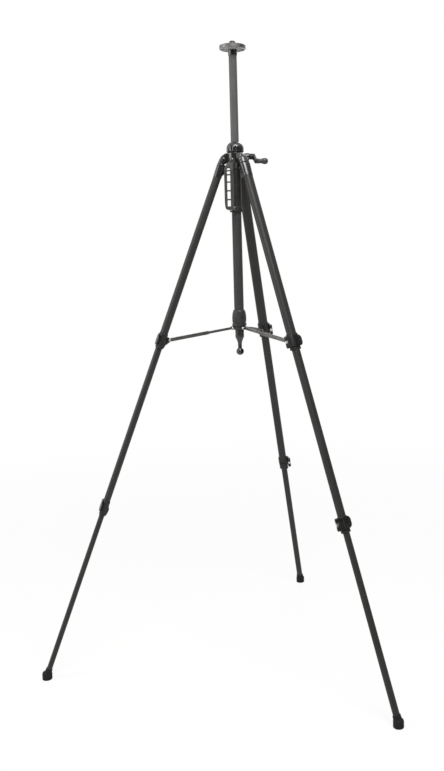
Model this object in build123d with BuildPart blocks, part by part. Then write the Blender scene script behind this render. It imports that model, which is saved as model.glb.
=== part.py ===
"""Elevating tripod with a geared centre column, three telescopic legs and a mid-level spreader.

Millimetres and degrees. The origin is the centre of the top plate's upper face, on the stud's axis,
and +Z points up along the column. The tripod stands open on the floor at z = -stand_height.
"""
import os
from collections import namedtuple
from math import asin, atan2, cos, pi, radians, sin, tan

from build123d import *

# Driving dimensions of the stand
stand_height = 1539.0
leg_azimuths = {"back": 90.0, "left": 210.0, "right": 330.0}
leg_tilt = 20.5
hinge_radius = 31.0
hinge_height = 1257.0
handle_azimuth = 270.0
crank_azimuth = 30.0
rack_azimuth = crank_azimuth + 90.0

# Clearances between pieces, on the radius or on one side
running_gap = 0.06
press_gap = 0.05
slide_gap = 0.4

# Oval leg tubes: width across the leg, depth in the leg's own plane
tube_wall = 1.0
upper_size = (25.4, 19.0)
middle_size = (21.0, 15.8)
lower_size = (16.6, 12.4)
upper_span = (28.0, 470.0)
middle_span = (411.0, 902.0)
lower_span = (843.0, 1329.0)

# Hinge socket at the head of each leg
knuckle_radius = 8.0
tongue_width = 15.8
tongue_length = 19.5
socket_size = (28.0, 21.4)
socket_span = (13.0, 46.0)
socket_round = 3.0
hinge_pin_radius = 2.5
cheek_radius = 8.5
cheek_width = 26.0
cheek_slot_width = 16.4
cheek_slot_start = 22.0
cheek_slot_reach = 30.0
cheek_slot_drop = 30.0
cheek_roof_gap = 0.8

# Flip locks: the collars that join the tubes, measured along the leg from its hinge
Lock = namedtuple("Lock", "centre length body above below")
upper_lock = Lock(471.0, 39.0, (31.0, 24.5), upper_size, middle_size)
lower_lock = Lock(903.0, 37.0, (26.6, 20.6), middle_size, lower_size)
collar_round = 1.6
collar_taper_start = 2.0
collar_foot_wall = 2.2
clamp_slit = 1.4

# Lever hinge on the collar's side, with its pin along the leg: places across the leg from its axis
lever_pin_radius = 2.0
lever_pin_offset = -1.0
lever_pin_standoff = 5.2
lever_boss_radius = 4.0
lever_boss_height = 10.0

# Flip lever, a shell round the collar's outer half that springs clear at its free end
lever_rise = 2.5
lever_height = 28.0
lever_gap = 0.8
lever_wall = 4.0
lever_spring_angle = 4.0
lever_heel = -1.0
lever_toe = 5.0
lever_hub_radius = 4.2
lever_fork_gap = 0.6
lever_fork_side_gap = 0.4
lever_fork_reach = 8.0
lever_reach = 60.0

# Spreader: hub on the fixed sleeve and two-piece braces out to lugs on the upper collars
hub_pivot_radius = 18.0
hub_pivot_height = 839.0
lug_along = 464.0
lug_inset = 18.7
lug_thickness = 4.0
lug_radius = 4.5
lug_root_depth = 2.0
lug_root_span = (-6.0, 21.0)
lug_corner = (3.6, 2.7)
rivet_radius = 2.0
rivet_head_radius = 3.5
rivet_head_height = 1.2
rivet_head_gap = 0.15
brace_piece_length = 105.0
fork_height = 8.0
fork_gap = 4.6
fork_wall = 1.4
fork_web = (8.0, 15.0)
link_height = 6.0
link_width = 3.8
link_eye_radius = 4.0
hub_bore_radius = 12.35
hub_barrel_radius = 17.6
hub_cheek = 3.0
hub_cheek_radius = 4.5
hub_cheek_start = 14.0
hub_slot_size = (14.4, 14.0)
hub_slot_offset = (2.8, -2.0)
hub_flute_count = 20
hub_flute_radius = 1.7
hub_flute_offset = 0.5
hub_flute_span = (853.5, 893.5)

# Hub profile from its foot up its tapered barrel to the shoulder's top: radius and height
hub_profile = [(14.4, 835.0), (14.4, 843.0), (18.0, 844.2), (18.0, 850.0), (16.4, 850.6), (16.4, 851.6),
               (hub_barrel_radius, 852.6), (16.2, 872.0)]
hub_shoulder_tangent = (-0.08, 1.0)
hub_shoulder_top = (13.4, 884.0)

# Fixed column sleeve, its guide under the crown, and the ballast hook
sleeve_radius = 12.0
sleeve_wall = 1.2
sleeve_span = (834.0, 1251.0)
guide_radius = 13.8
guide_span = (1122.0, 1236.0)
guide_band_radius = 16.4
guide_band_height = 12.0
guide_band_round = 1.2
plug_radius = 11.2
hook_neck_radius = 5.0
hook_neck_bottom = 783.0
hook_neck_top = 803.0
hook_shoulder = [(9.7, 813.0), (plug_radius, 816.0)]
hook_spigot_length = 20.0
hook_eye_height = 779.5
hook_eye_radius = 9.5
hook_eye_hole_radius = 4.5
hook_eye_thickness = 14.0
hook_eye_azimuth = 340.0

# Crown casting
crown_radius = 21.0
crown_top = 1275.0
crown_bottom = 1236.0
crown_bottom_radius = 14.4
crown_cone_top = 1249.0
crown_shoulder = [(24.0, crown_top), (33.4, 1268.2)]
neck_radius = 16.0
neck_bore_radius = 13.2
neck_top = 1292.0
column_bore_radius = 10.5
housing_radius = 9.5
housing_span = (-9.0, 38.0)
housing_trim_radius = 22.5

# Column clamp
ring_radius = 21.5
ring_span = (1275.6, 1301.0)
collet_outer_radius = 13.1
collet_inner_radius = 10.4
collet_span = (1279.0, 1295.9)
collet_root = 4.0
collet_slit = 1.2
ring_bore_radius = 10.6
ring_undercut = (2.6, 3.2)
ring_dome = [(ring_radius, 1285.5), (12.6, 1301.0)]
ring_roof = [(13.5, 1296.4), (16.4, 1292.6)]
ring_flute_count = 16
ring_flute_start = 1279.6
ring_flute_radius = 2.6
ring_flute_offset = 1.3

# Centre column and instrument plate
column_radius = 10.0
column_wall = 1.2
column_span = (1064.0, 1526.0)
end_plug_rim = (9.8, 4.0)
end_plug_depth = 15.0
plate_radius = 32.5
plate_thickness = 10.0
plate_chamfer = 0.8
plate_rim_width = 2.8
plate_dish_depth = 5.5
plate_boss_radius = 13.4
plate_rib_count = 6
plate_rib_width = 2.2
plate_socket_radius = 11.4
plate_socket_height = 14.0
plate_socket_round = 1.0
stud_radius = 7.9375
stud_height = 11.0
stud_chamfer = 1.5
stud_shank_radius = 5.0
stud_shank_length = 16.0

# Column gearing, module 1
gear_module = 1.0
pressure_angle = 20.0
dedendum = 1.25
pinion_teeth = 10
pinion_height = 1268.0
rack_pitch_offset = 8.65
rack_back_offset = 5.6
rack_width = 5.0
rack_span = (1205.0, 1489.0)
tooth_thickness = 1.0
shaft_radius = 2.5
pinion_width = 4.4
pinion_side_gap = 0.8
shaft_end_gap = 0.5
pinion_cavity_radius = 6.7
bush_start = 9.0

# Crank on the end of the pinion shaft; the arm hangs at this angle below the horizontal
crank_hub_radius = 7.5
crank_hub_span = (39.5, 52.5)
shaft_end = 49.5
crank_arm_thickness = 6.0
crank_throw = 31.0
crank_end_radius = 6.5
crank_drop_angle = 26.5
crank_pin_radius = 3.0
crank_pin_length = 24.0
crank_round = 1.5

# Crank knob from the arm's face: distance out, then the grip's profile as radius and distance
crank_knob_gap = 0.5
crank_knob_base_radius = 6.4
crank_knob_grip = [(5.7, 9.0), (8.0, 19.0), (4.5, 27.0)]

# Carry handle, a strap in the front gap: path as radius and height, then half widths in front view
handle_thickness = 4.5
handle_path = [(23.6, 1261.0), (23.6, 1248.0), (50.0, 1218.0), (50.0, 1136.0), (19.0, 1132.5),
               (19.0, 1120.5)]
handle_bend_radius = 4.0
handle_half_widths = [(1264.0, 7.5), (1240.0, 7.5), (1222.0, 11.2), (1144.0, 11.2), (1131.0, 7.0),
                      (1119.0, 7.0)]
handle_windows = [(1220.0, 7.0), (1204.3, 12.3), (1184.0, 13.5), (1162.5, 14.8), (1146.0, 10.0)]
handle_window_width = 10.0
handle_window_round = 2.5
handle_reach = 80.0
handle_screw_radius = 2.0
handle_screw_heights = (1256.0, 1125.0)
handle_screw_roots = (15.0, 12.5)
handle_screw_head_radius = 4.0
handle_screw_head_height = 2.0
handle_screw_head_gap = 0.1

# Rubber feet
foot_radius = 12.0
foot_height = 19.0
foot_axis_height = 10.0
foot_collar_length = 14.0
foot_collar_wall = 1.6
foot_top_round = 5.0
foot_sole_round = 1.5


def level(height):
    """z of a height above the floor."""
    return height - stand_height


def outward(azimuth):
    """Horizontal unit vector at an azimuth."""
    return Vector(cos(radians(azimuth)), sin(radians(azimuth)), 0)


def upright_plane(azimuth):
    """Vertical plane through the column: x runs outward, y runs up."""
    return Plane(origin=(0, 0, level(0)), x_dir=outward(azimuth), z_dir=outward(azimuth - 90))


def front_plane(distance=0.0):
    """Vertical plane facing the handle's side: x runs along the strap's width, y runs up."""
    origin = outward(handle_azimuth) * distance + Vector(0, 0, level(0))
    return Plane(origin=origin, x_dir=outward(handle_azimuth + 90), z_dir=outward(handle_azimuth))


def floor_plane(height):
    """Horizontal plane at a height above the floor."""
    return Plane.XY.offset(level(height))


def leg_direction():
    """Outward and upward parts of the unit vector up a leg, and of the one away from its outer face."""
    tilt = radians(leg_tilt)
    return (-sin(tilt), cos(tilt)), (cos(tilt), sin(tilt))


def leg_plane(azimuth, along=0.0):
    """Plane across a leg at a distance along it from its hinge: x faces outward, z runs up the leg."""
    up_leg, away = leg_direction()
    up = Vector(0, 0, 1)
    hinge = outward(azimuth) * hinge_radius + up * level(hinge_height)
    x_dir = outward(azimuth) * away[0] + up * away[1]
    z_dir = outward(azimuth) * up_leg[0] + up * up_leg[1]
    return Plane(origin=hinge - z_dir * along, x_dir=x_dir, z_dir=z_dir)


def leg_side_plane(azimuth):
    """Plane down the middle of a leg, from its hinge: x faces outward, y runs up the leg."""
    across = leg_plane(azimuth)
    return Plane(origin=across.origin, x_dir=across.x_dir, z_dir=outward(azimuth - 90))


def lug_point():
    """Radius and height of a brace's outer pivot."""
    up_leg, away = leg_direction()
    radius = hinge_radius - up_leg[0] * lug_along - away[0] * lug_inset
    height = hinge_height - up_leg[1] * lug_along - away[1] * lug_inset
    return radius, height


def brace_plane(azimuth, radius, height, inward):
    """Plane down the middle of a brace with its x along the brace from one pivot towards the other."""
    lug_radius_at, lug_height_at = lug_point()
    slope = atan2(lug_height_at - hub_pivot_height, lug_radius_at - hub_pivot_radius)
    up = Vector(0, 0, 1)
    along = outward(azimuth) * cos(slope) + up * sin(slope)
    origin = outward(azimuth) * radius + up * level(height)
    return Plane(origin=origin, x_dir=along * (-1 if inward else 1), z_dir=outward(azimuth - 90))


def shaft_plane(distance=0.0):
    """Plane across the crank shaft: x points away from the column, z runs out along the shaft."""
    offset = outward(rack_azimuth) * (rack_pitch_offset + gear_module * pinion_teeth / 2)
    origin = offset + Vector(0, 0, level(pinion_height)) + outward(crank_azimuth) * distance
    return Plane(origin=origin, x_dir=outward(rack_azimuth), z_dir=outward(crank_azimuth))


def oval(size, grow=0.0, mode=Mode.ADD):
    """Oval section with its long side across the leg."""
    SlotOverall(size[0] + 2 * grow, size[1] + 2 * grow, rotation=90, mode=mode)


def make_tube(azimuth, size, span):
    """One oval leg tube."""
    with BuildPart() as leg_tube:
        with BuildSketch(leg_plane(azimuth, span[0])):
            oval(size)
            oval(size, -tube_wall, mode=Mode.SUBTRACT)
        extrude(amount=span[0] - span[1])
    return leg_tube.part


def make_hinge_socket(azimuth):
    """Moulded head of a leg: a tongue with the hinge bore over a pocket for the upper tube."""
    top = leg_plane(azimuth, socket_span[0])
    side = leg_side_plane(azimuth)
    with BuildPart() as hinge_socket:
        with BuildSketch(top):
            oval(socket_size)
        extrude(amount=socket_span[0] - socket_span[1])
        shoulders = hinge_socket.faces().sort_by(Axis(top.origin, top.z_dir))[-1]
        fillet(shoulders.edges(), radius=socket_round)
        with BuildSketch(side):
            Circle(knuckle_radius)
            with Locations((0, -tongue_length / 2)):
                Rectangle(2 * knuckle_radius, tongue_length)
        extrude(amount=tongue_width / 2, both=True)
        with BuildSketch(leg_plane(azimuth, upper_span[0])):
            oval(upper_size, press_gap)
        extrude(amount=upper_span[0] - socket_span[1], mode=Mode.SUBTRACT)
        with BuildSketch(side):
            Circle(hinge_pin_radius + running_gap)
        extrude(amount=tongue_width, both=True, mode=Mode.SUBTRACT)
    return hinge_socket.part


def lever_pin_place(lock):
    """Lever pin in the plane across the leg."""
    return lever_pin_offset, -(lock.body[0] / 2 + lever_pin_standoff)


def lever_plane(azimuth, lock):
    """Plane across the leg at the middle of a lever's height."""
    return leg_plane(azimuth, lock.centre - lever_rise)


def make_collar(azimuth, lock, with_lug):
    """Flip-lock collar: fixed on the tube above, tapered and split so that it can grip the tube below."""
    half = lock.length / 2
    top = leg_plane(azimuth, lock.centre - half)
    side = leg_side_plane(azimuth)
    pin_x, pin_y = lever_pin_place(lock)
    with BuildPart() as collar:
        with BuildSketch(top):
            oval(lock.body)
        extrude(amount=-half - collar_taper_start)
        rim = collar.faces().sort_by(Axis(top.origin, top.z_dir))[-1]
        fillet(rim.edges(), radius=collar_round)
        with BuildSketch(leg_plane(azimuth, lock.centre + collar_taper_start)):
            oval(lock.body)
        with BuildSketch(leg_plane(azimuth, lock.centre + half)):
            oval(lock.below, collar_foot_wall)
        loft()
        with BuildSketch(lever_plane(azimuth, lock)):
            with Locations((pin_x, pin_y)):
                Circle(lever_boss_radius)
            with Locations((pin_x, pin_y / 2)):
                Rectangle(2 * lever_boss_radius, -pin_y)
        extrude(amount=lever_boss_height / 2, both=True)
        if with_lug:
            root = -lock.body[1] / 2 + lug_root_depth
            with BuildSketch(side):
                Polygon(
                    (root, -lug_along - lug_root_span[0]),
                    (-lug_inset, -lug_along + lug_radius),
                    (-lug_inset - lug_corner[0], -lug_along - lug_corner[1]),
                    (root, -lug_along - lug_root_span[1]),
                    align=None,
                )
                with Locations((-lug_inset, -lug_along)):
                    Circle(lug_radius)
            extrude(amount=lug_thickness / 2, both=True)
            with BuildSketch(side):
                with Locations((-lug_inset, -lug_along)):
                    Circle(rivet_radius)
            extrude(amount=lug_thickness, both=True, mode=Mode.SUBTRACT)
        with BuildSketch(top):
            oval(lock.above, press_gap)
        extrude(amount=-half, mode=Mode.SUBTRACT)
        with BuildSketch(top):
            oval(lock.below, slide_gap)
        extrude(amount=-lock.length, mode=Mode.SUBTRACT)
        with BuildSketch(side):
            with Locations((lock.body[1] / 2, -lock.centre - half)):
                Rectangle(lock.body[1] - lock.below[1] / 2, lock.length)
        extrude(amount=clamp_slit / 2, both=True, mode=Mode.SUBTRACT)
        with BuildSketch(lever_plane(azimuth, lock)):
            with Locations((pin_x, pin_y)):
                Circle(lever_pin_radius)
        extrude(amount=lever_height, both=True, mode=Mode.SUBTRACT)
    return collar.part


def make_rivet(side, x, y, half_grip):
    """Rivet with a head at each end."""
    with BuildPart() as rivet:
        with BuildSketch(side):
            with Locations((x, y)):
                Circle(rivet_radius)
        extrude(amount=half_grip + rivet_head_height, both=True)
        for face in (1, -1):
            with BuildSketch(side.offset(face * (half_grip + rivet_head_gap))):
                with Locations((x, y)):
                    Circle(rivet_head_radius)
            extrude(amount=face * (rivet_head_height - rivet_head_gap))
    return rivet.part


def make_lever_pin(azimuth, lock):
    """Pin that a flip lever turns on."""
    with BuildPart() as lever_pin:
        with BuildSketch(lever_plane(azimuth, lock)):
            with Locations(lever_pin_place(lock)):
                Circle(lever_pin_radius)
        extrude(amount=lever_height / 2, both=True)
    return lever_pin.part


def make_upper_pins(azimuth):
    """Lever pin of the upper flip lock and the brace rivet in its collar's lug."""
    lever_pin = make_lever_pin(azimuth, upper_lock)
    rivet = make_rivet(leg_side_plane(azimuth), -lug_inset, -lug_along, fork_gap / 2 + fork_wall)
    with BuildPart() as upper_pins:
        add(lever_pin)
        add(rivet)
    return upper_pins.part


def make_lever(azimuth, lock):
    """Flip lever: a shell round the collar's outer half with a rounded end and a fork at the hinge boss."""
    across = lever_plane(azimuth, lock)
    facing = Plane(origin=across.origin, x_dir=across.y_dir, z_dir=across.x_dir)
    pin_x, pin_y = lever_pin_place(lock)
    sprung = Pos(pin_x, pin_y) * Rot(Z=-lever_spring_angle) * Pos(-pin_x, -pin_y)
    end_centre = lock.body[0] / 2 + lever_gap + lever_wall - lever_height / 2
    fork_cut = lever_boss_radius + lever_fork_gap
    with BuildPart() as lever:
        with BuildSketch(across):
            with Locations(sprung):
                oval(lock.body, lever_gap + lever_wall)
                oval(lock.body, lever_gap, mode=Mode.SUBTRACT)
            with Locations(sprung * Pos(lever_heel - lever_reach / 2, 0)):
                Rectangle(lever_reach, 2 * lever_reach, mode=Mode.SUBTRACT)
            with Locations(sprung * Pos(lever_toe - lever_reach / 2, lever_reach / 2)):
                Rectangle(lever_reach, lever_reach, mode=Mode.SUBTRACT)
            with Locations((pin_x, pin_y)):
                Circle(lever_hub_radius)
        extrude(amount=lever_height / 2, both=True)
        with BuildSketch(facing):
            with Locations((end_centre, 0)):
                Circle(lever_height / 2)
            with Locations((end_centre - lever_reach / 2, 0)):
                Rectangle(lever_reach, lever_height)
        extrude(amount=lever_reach, both=True, mode=Mode.INTERSECT)
        with BuildSketch(across):
            with Locations((pin_x, pin_y)):
                Circle(fork_cut)
            with Locations((pin_x + fork_cut - lever_fork_reach, pin_y + lever_fork_reach / 2)):
                Rectangle(2 * lever_fork_reach, lever_fork_reach + 2 * lever_hub_radius)
        extrude(amount=lever_boss_height / 2 + lever_fork_side_gap, both=True, mode=Mode.SUBTRACT)
        with BuildSketch(across):
            with Locations((pin_x, pin_y)):
                Circle(lever_pin_radius + running_gap)
        extrude(amount=lever_height, both=True, mode=Mode.SUBTRACT)
    return lever.part


def make_foot(azimuth):
    """Rubber foot, moulded so that its sole lies flat on the floor when the legs are spread."""
    reach = hinge_radius + (hinge_height - foot_axis_height) * tan(radians(leg_tilt))
    centre = outward(azimuth) * reach
    sole = Plane(origin=(centre.X, centre.Y, level(0)), x_dir=outward(azimuth), z_dir=(0, 0, 1))
    collar_top = lower_span[1] - foot_collar_length
    with BuildPart() as foot:
        with BuildSketch(sole):
            Circle(foot_radius)
        extrude(amount=foot_height)
        fillet(foot.edges().sort_by(Axis.Z)[-1], radius=foot_top_round)
        fillet(foot.edges().sort_by(Axis.Z)[0], radius=foot_sole_round)
        with BuildSketch(leg_plane(azimuth, collar_top)):
            oval(lower_size, foot_collar_wall)
        extrude(amount=-foot_collar_length)
        with BuildSketch(leg_plane(azimuth, collar_top)):
            oval(lower_size, press_gap)
        extrude(amount=collar_top - lower_span[1], mode=Mode.SUBTRACT)
    return foot.part


def make_brace_fork(azimuth):
    """Outer piece of a brace: two straps riveted to the lug, open towards the hub."""
    side = brace_plane(azimuth, *lug_point(), inward=True)
    half_width = fork_gap / 2 + fork_wall
    with BuildPart() as brace_fork:
        with BuildSketch(side):
            with Locations((brace_piece_length / 2 - fork_height / 2, 0)):
                SlotOverall(brace_piece_length, fork_height)
        extrude(amount=half_width, both=True)
        with BuildSketch(side):
            with Locations((brace_piece_length / 2, 0)):
                Rectangle(2 * brace_piece_length, 2 * fork_height)
            with Locations(((fork_web[0] + fork_web[1]) / 2, 0)):
                Rectangle(fork_web[1] - fork_web[0], 3 * fork_height, mode=Mode.SUBTRACT)
        extrude(amount=fork_gap / 2, both=True, mode=Mode.SUBTRACT)
        with BuildSketch(side):
            Circle(rivet_radius + running_gap)
        extrude(amount=2 * half_width, both=True, mode=Mode.SUBTRACT)
    return brace_fork.part


def make_brace_link(azimuth):
    """Inner piece of a brace: a flat bar from the hub that lies between the fork's straps."""
    side = brace_plane(azimuth, hub_pivot_radius, hub_pivot_height, inward=False)
    with BuildPart() as brace_link:
        with BuildSketch(side):
            with Locations((brace_piece_length / 2 - link_height / 2, 0)):
                SlotOverall(brace_piece_length, link_height)
            Circle(link_eye_radius)
        extrude(amount=link_width / 2, both=True)
        with BuildSketch(side):
            Circle(rivet_radius + running_gap)
        extrude(amount=link_width, both=True, mode=Mode.SUBTRACT)
    return brace_link.part


def make_spreader_hub():
    """Fluted slider on the fixed sleeve with three clevises for the braces."""
    bore_foot = (hub_bore_radius, hub_profile[0][1])
    with BuildPart() as spreader_hub:
        with BuildSketch(upright_plane(0)):
            with BuildLine():
                Polyline(bore_foot, *hub_profile)
                TangentArc(hub_profile[-1], hub_shoulder_top, tangent=hub_shoulder_tangent)
                Polyline(hub_shoulder_top, (hub_bore_radius, hub_shoulder_top[1]), bore_foot)
            make_face()
        revolve(axis=Axis.Z)
        with BuildSketch(floor_plane(hub_flute_span[0])):
            with PolarLocations(hub_barrel_radius + hub_flute_offset, hub_flute_count):
                Circle(hub_flute_radius)
        extrude(amount=hub_flute_span[1] - hub_flute_span[0], mode=Mode.SUBTRACT)
        for azimuth in leg_azimuths.values():
            side = upright_plane(azimuth)
            with BuildSketch(side):
                with Locations((hub_pivot_radius, hub_pivot_height)):
                    Circle(hub_cheek_radius)
                with Locations(((hub_cheek_start + hub_pivot_radius) / 2, hub_pivot_height)):
                    Rectangle(hub_pivot_radius - hub_cheek_start, 2 * hub_cheek_radius)
            extrude(amount=fork_gap / 2 + hub_cheek, both=True)
            slot_centre = (hub_pivot_radius + hub_slot_offset[0], hub_pivot_height + hub_slot_offset[1])
            with BuildSketch(side):
                with Locations(slot_centre):
                    Rectangle(*hub_slot_size)
            extrude(amount=fork_gap / 2, both=True, mode=Mode.SUBTRACT)
            with BuildSketch(side):
                with Locations((hub_pivot_radius, hub_pivot_height)):
                    Circle(rivet_radius)
            extrude(amount=fork_gap + hub_cheek, both=True, mode=Mode.SUBTRACT)
    return spreader_hub.part


def make_hub_rivets():
    """The three rivets that hold the braces in the hub."""
    half_grip = fork_gap / 2 + hub_cheek
    planes = [upright_plane(azimuth) for azimuth in leg_azimuths.values()]
    rivets = [make_rivet(side, hub_pivot_radius, hub_pivot_height, half_grip) for side in planes]
    with BuildPart() as hub_rivets:
        add(rivets)
    return hub_rivets.part


def make_crown():
    """Crown casting: three roofed hinge forks round the column bore, a clamp neck and a gear housing."""
    cheek_tip = (hinge_radius + cheek_radius, hinge_height)
    cheek_foot = (hinge_radius, hinge_height - cheek_radius)
    slot_top = hinge_height + knuckle_radius + cheek_roof_gap
    slot_height = slot_top - hinge_height + cheek_slot_drop
    with BuildPart() as crown:
        with BuildSketch(upright_plane(0)):
            with BuildLine():
                Polyline(
                    (0, crown_bottom),
                    (crown_bottom_radius, crown_bottom),
                    (crown_radius, crown_cone_top),
                    (crown_radius, crown_top),
                    (0, crown_top),
                    (0, crown_bottom),
                )
            make_face()
        revolve(axis=Axis.Z)
        with BuildSketch(shaft_plane(housing_span[0])):
            Circle(housing_radius)
        extrude(amount=housing_span[1] - housing_span[0])
        for azimuth in leg_azimuths.values():
            with BuildSketch(upright_plane(azimuth)):
                with BuildLine():
                    ThreePointArc(*crown_shoulder, cheek_tip)
                    Polyline(cheek_tip, cheek_foot, (0, cheek_foot[1]), (0, crown_top), crown_shoulder[0])
                make_face()
                with Locations((hinge_radius, hinge_height)):
                    Circle(cheek_radius)
            extrude(amount=cheek_width / 2, both=True)
        for azimuth in leg_azimuths.values():
            side = upright_plane(azimuth)
            with BuildSketch(side):
                with Locations((cheek_slot_start + cheek_slot_reach / 2, slot_top - slot_height / 2)):
                    Rectangle(cheek_slot_reach, slot_height)
            extrude(amount=cheek_slot_width / 2, both=True, mode=Mode.SUBTRACT)
            with BuildSketch(side):
                with Locations((hinge_radius, hinge_height)):
                    Circle(hinge_pin_radius)
            extrude(amount=cheek_width / 2, both=True, mode=Mode.SUBTRACT)
        with BuildSketch(floor_plane(crown_top)):
            Circle(housing_trim_radius)
        extrude(amount=neck_top - crown_top, mode=Mode.SUBTRACT)
        with BuildSketch(floor_plane(crown_top)):
            Circle(neck_radius)
        extrude(amount=neck_top - crown_top)
        with BuildSketch(floor_plane(crown_bottom)):
            Circle(column_bore_radius)
        extrude(amount=neck_top - crown_bottom, mode=Mode.SUBTRACT)
        with BuildSketch(floor_plane(crown_bottom)):
            Circle(sleeve_radius + press_gap)
        extrude(amount=sleeve_span[1] - crown_bottom, mode=Mode.SUBTRACT)
        with BuildSketch(floor_plane(collet_span[0])):
            Circle(neck_bore_radius)
        extrude(amount=neck_top - collet_span[0], mode=Mode.SUBTRACT)
        with BuildSketch(shaft_plane(-pinion_width / 2 - pinion_side_gap)):
            Circle(pinion_cavity_radius)
        extrude(amount=housing_span[1] + pinion_width, mode=Mode.SUBTRACT)
        with BuildSketch(shaft_plane(housing_span[0])):
            Circle(shaft_radius + running_gap)
        extrude(amount=housing_span[1] - housing_span[0], mode=Mode.SUBTRACT)
        with BuildSketch(front_plane()):
            with Locations((0, handle_screw_heights[0])):
                Circle(handle_screw_radius)
        extrude(amount=2 * crown_radius, mode=Mode.SUBTRACT)
    return crown.part


def make_ring(outer_radius, inner_radius, span):
    """Plain round tube standing on the column's axis."""
    with BuildPart() as round_tube:
        with BuildSketch(floor_plane(span[0])):
            Circle(outer_radius)
            Circle(inner_radius, mode=Mode.SUBTRACT)
        extrude(amount=span[1] - span[0])
    return round_tube.part


def make_hinge_pins():
    """The three pins that the legs hinge on."""
    with BuildPart() as hinge_pins:
        for azimuth in leg_azimuths.values():
            with BuildSketch(upright_plane(azimuth)):
                with Locations((hinge_radius, hinge_height)):
                    Circle(hinge_pin_radius)
            extrude(amount=cheek_width / 2, both=True)
    return hinge_pins.part


def make_column_guide():
    """Sleeve under the crown with a band at its foot for the handle's lower end."""
    with BuildPart() as column_guide:
        with BuildSketch(floor_plane(guide_span[0])):
            Circle(guide_radius)
        extrude(amount=guide_span[1] - guide_span[0])
        with BuildSketch(floor_plane(guide_span[0])):
            Circle(guide_band_radius)
        extrude(amount=guide_band_height)
        band_edges = column_guide.edges().filter_by(GeomType.CIRCLE).group_by(SortBy.RADIUS)[-1]
        fillet(band_edges, radius=guide_band_round)
        with BuildSketch(floor_plane(guide_span[0])):
            Circle(sleeve_radius + press_gap)
        extrude(amount=guide_span[1] - guide_span[0], mode=Mode.SUBTRACT)
        with BuildSketch(front_plane()):
            with Locations((0, handle_screw_heights[1])):
                Circle(handle_screw_radius)
        extrude(amount=2 * guide_band_radius, mode=Mode.SUBTRACT)
    return column_guide.part


def make_carry_handle():
    """Ladder-shaped strap that bows out from the crown and returns to the guide's band."""
    side = upright_plane(handle_azimuth)
    outline = [(half, height) for height, half in handle_half_widths]
    outline += [(-half, height) for height, half in reversed(handle_half_widths)]
    with BuildPart() as carry_handle:
        with BuildSketch(side):
            with BuildLine():
                FilletPolyline(*handle_path, radius=handle_bend_radius)
            trace(line_width=handle_thickness)
        extrude(amount=handle_half_widths[2][1], both=True)
        with BuildSketch(front_plane()):
            Polygon(*outline, align=None)
        extrude(amount=handle_reach, mode=Mode.INTERSECT)
        with BuildSketch(front_plane()):
            for height, window in handle_windows:
                with Locations((0, height)):
                    RectangleRounded(handle_window_width, window, handle_window_round)
        extrude(amount=handle_reach, mode=Mode.SUBTRACT)
        with BuildSketch(front_plane()):
            for height in handle_screw_heights:
                with Locations((0, height)):
                    Circle(handle_screw_radius + press_gap)
        extrude(amount=handle_path[0][0] + handle_thickness, mode=Mode.SUBTRACT)
    return carry_handle.part


def make_handle_screws():
    """The two screws that hold the handle."""
    faces = (handle_path[0][0], handle_path[-1][0])
    with BuildPart() as handle_screws:
        for height, face, root in zip(handle_screw_heights, faces, handle_screw_roots):
            head = face + handle_thickness / 2 + handle_screw_head_gap
            with BuildSketch(front_plane(root)):
                with Locations((0, height)):
                    Circle(handle_screw_radius)
            extrude(amount=head - root)
            with BuildSketch(front_plane(head)):
                with Locations((0, height)):
                    Circle(handle_screw_head_radius)
            extrude(amount=handle_screw_head_height)
    return handle_screws.part


def make_ballast_hook():
    """Plug in the sleeve's lower end with a neck and an eye for a ballast weight."""
    eye_plane = Plane(
        origin=(0, 0, level(hook_eye_height)),
        x_dir=outward(hook_eye_azimuth + 90),
        z_dir=outward(hook_eye_azimuth),
    )
    spigot_radius = sleeve_radius - sleeve_wall - press_gap
    with BuildPart() as ballast_hook:
        with BuildSketch(upright_plane(0)):
            with BuildLine():
                Polyline(
                    (0, hook_neck_bottom),
                    (hook_neck_radius, hook_neck_bottom),
                    (hook_neck_radius, hook_neck_top),
                    *hook_shoulder,
                    (plug_radius, sleeve_span[0]),
                    (spigot_radius, sleeve_span[0]),
                    (spigot_radius, sleeve_span[0] + hook_spigot_length),
                    (0, sleeve_span[0] + hook_spigot_length),
                    (0, hook_neck_bottom),
                )
            make_face()
        revolve(axis=Axis.Z)
        with Locations((0, 0, level(hook_eye_height))):
            Sphere(hook_eye_radius)
        for face in (1, -1):
            with BuildSketch(eye_plane.offset(face * hook_eye_thickness / 2)):
                Circle(hook_eye_radius)
            extrude(amount=face * hook_eye_radius, mode=Mode.SUBTRACT)
        with BuildSketch(eye_plane):
            Circle(hook_eye_hole_radius)
        extrude(amount=2 * hook_eye_radius, both=True, mode=Mode.SUBTRACT)
    return ballast_hook.part


def make_clamp_collet():
    """Split collet that grips the column when the ring is turned down."""
    with BuildPart() as clamp_collet:
        with BuildSketch(floor_plane(collet_span[0])):
            Circle(collet_outer_radius)
            Circle(collet_inner_radius, mode=Mode.SUBTRACT)
        extrude(amount=collet_span[1] - collet_span[0])
        with BuildSketch(floor_plane(collet_span[0] + collet_root)):
            for turn in (0, 90):
                Rectangle(4 * collet_outer_radius, collet_slit, rotation=turn)
        extrude(amount=collet_span[1] - collet_span[0], mode=Mode.SUBTRACT)
    return clamp_collet.part


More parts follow.
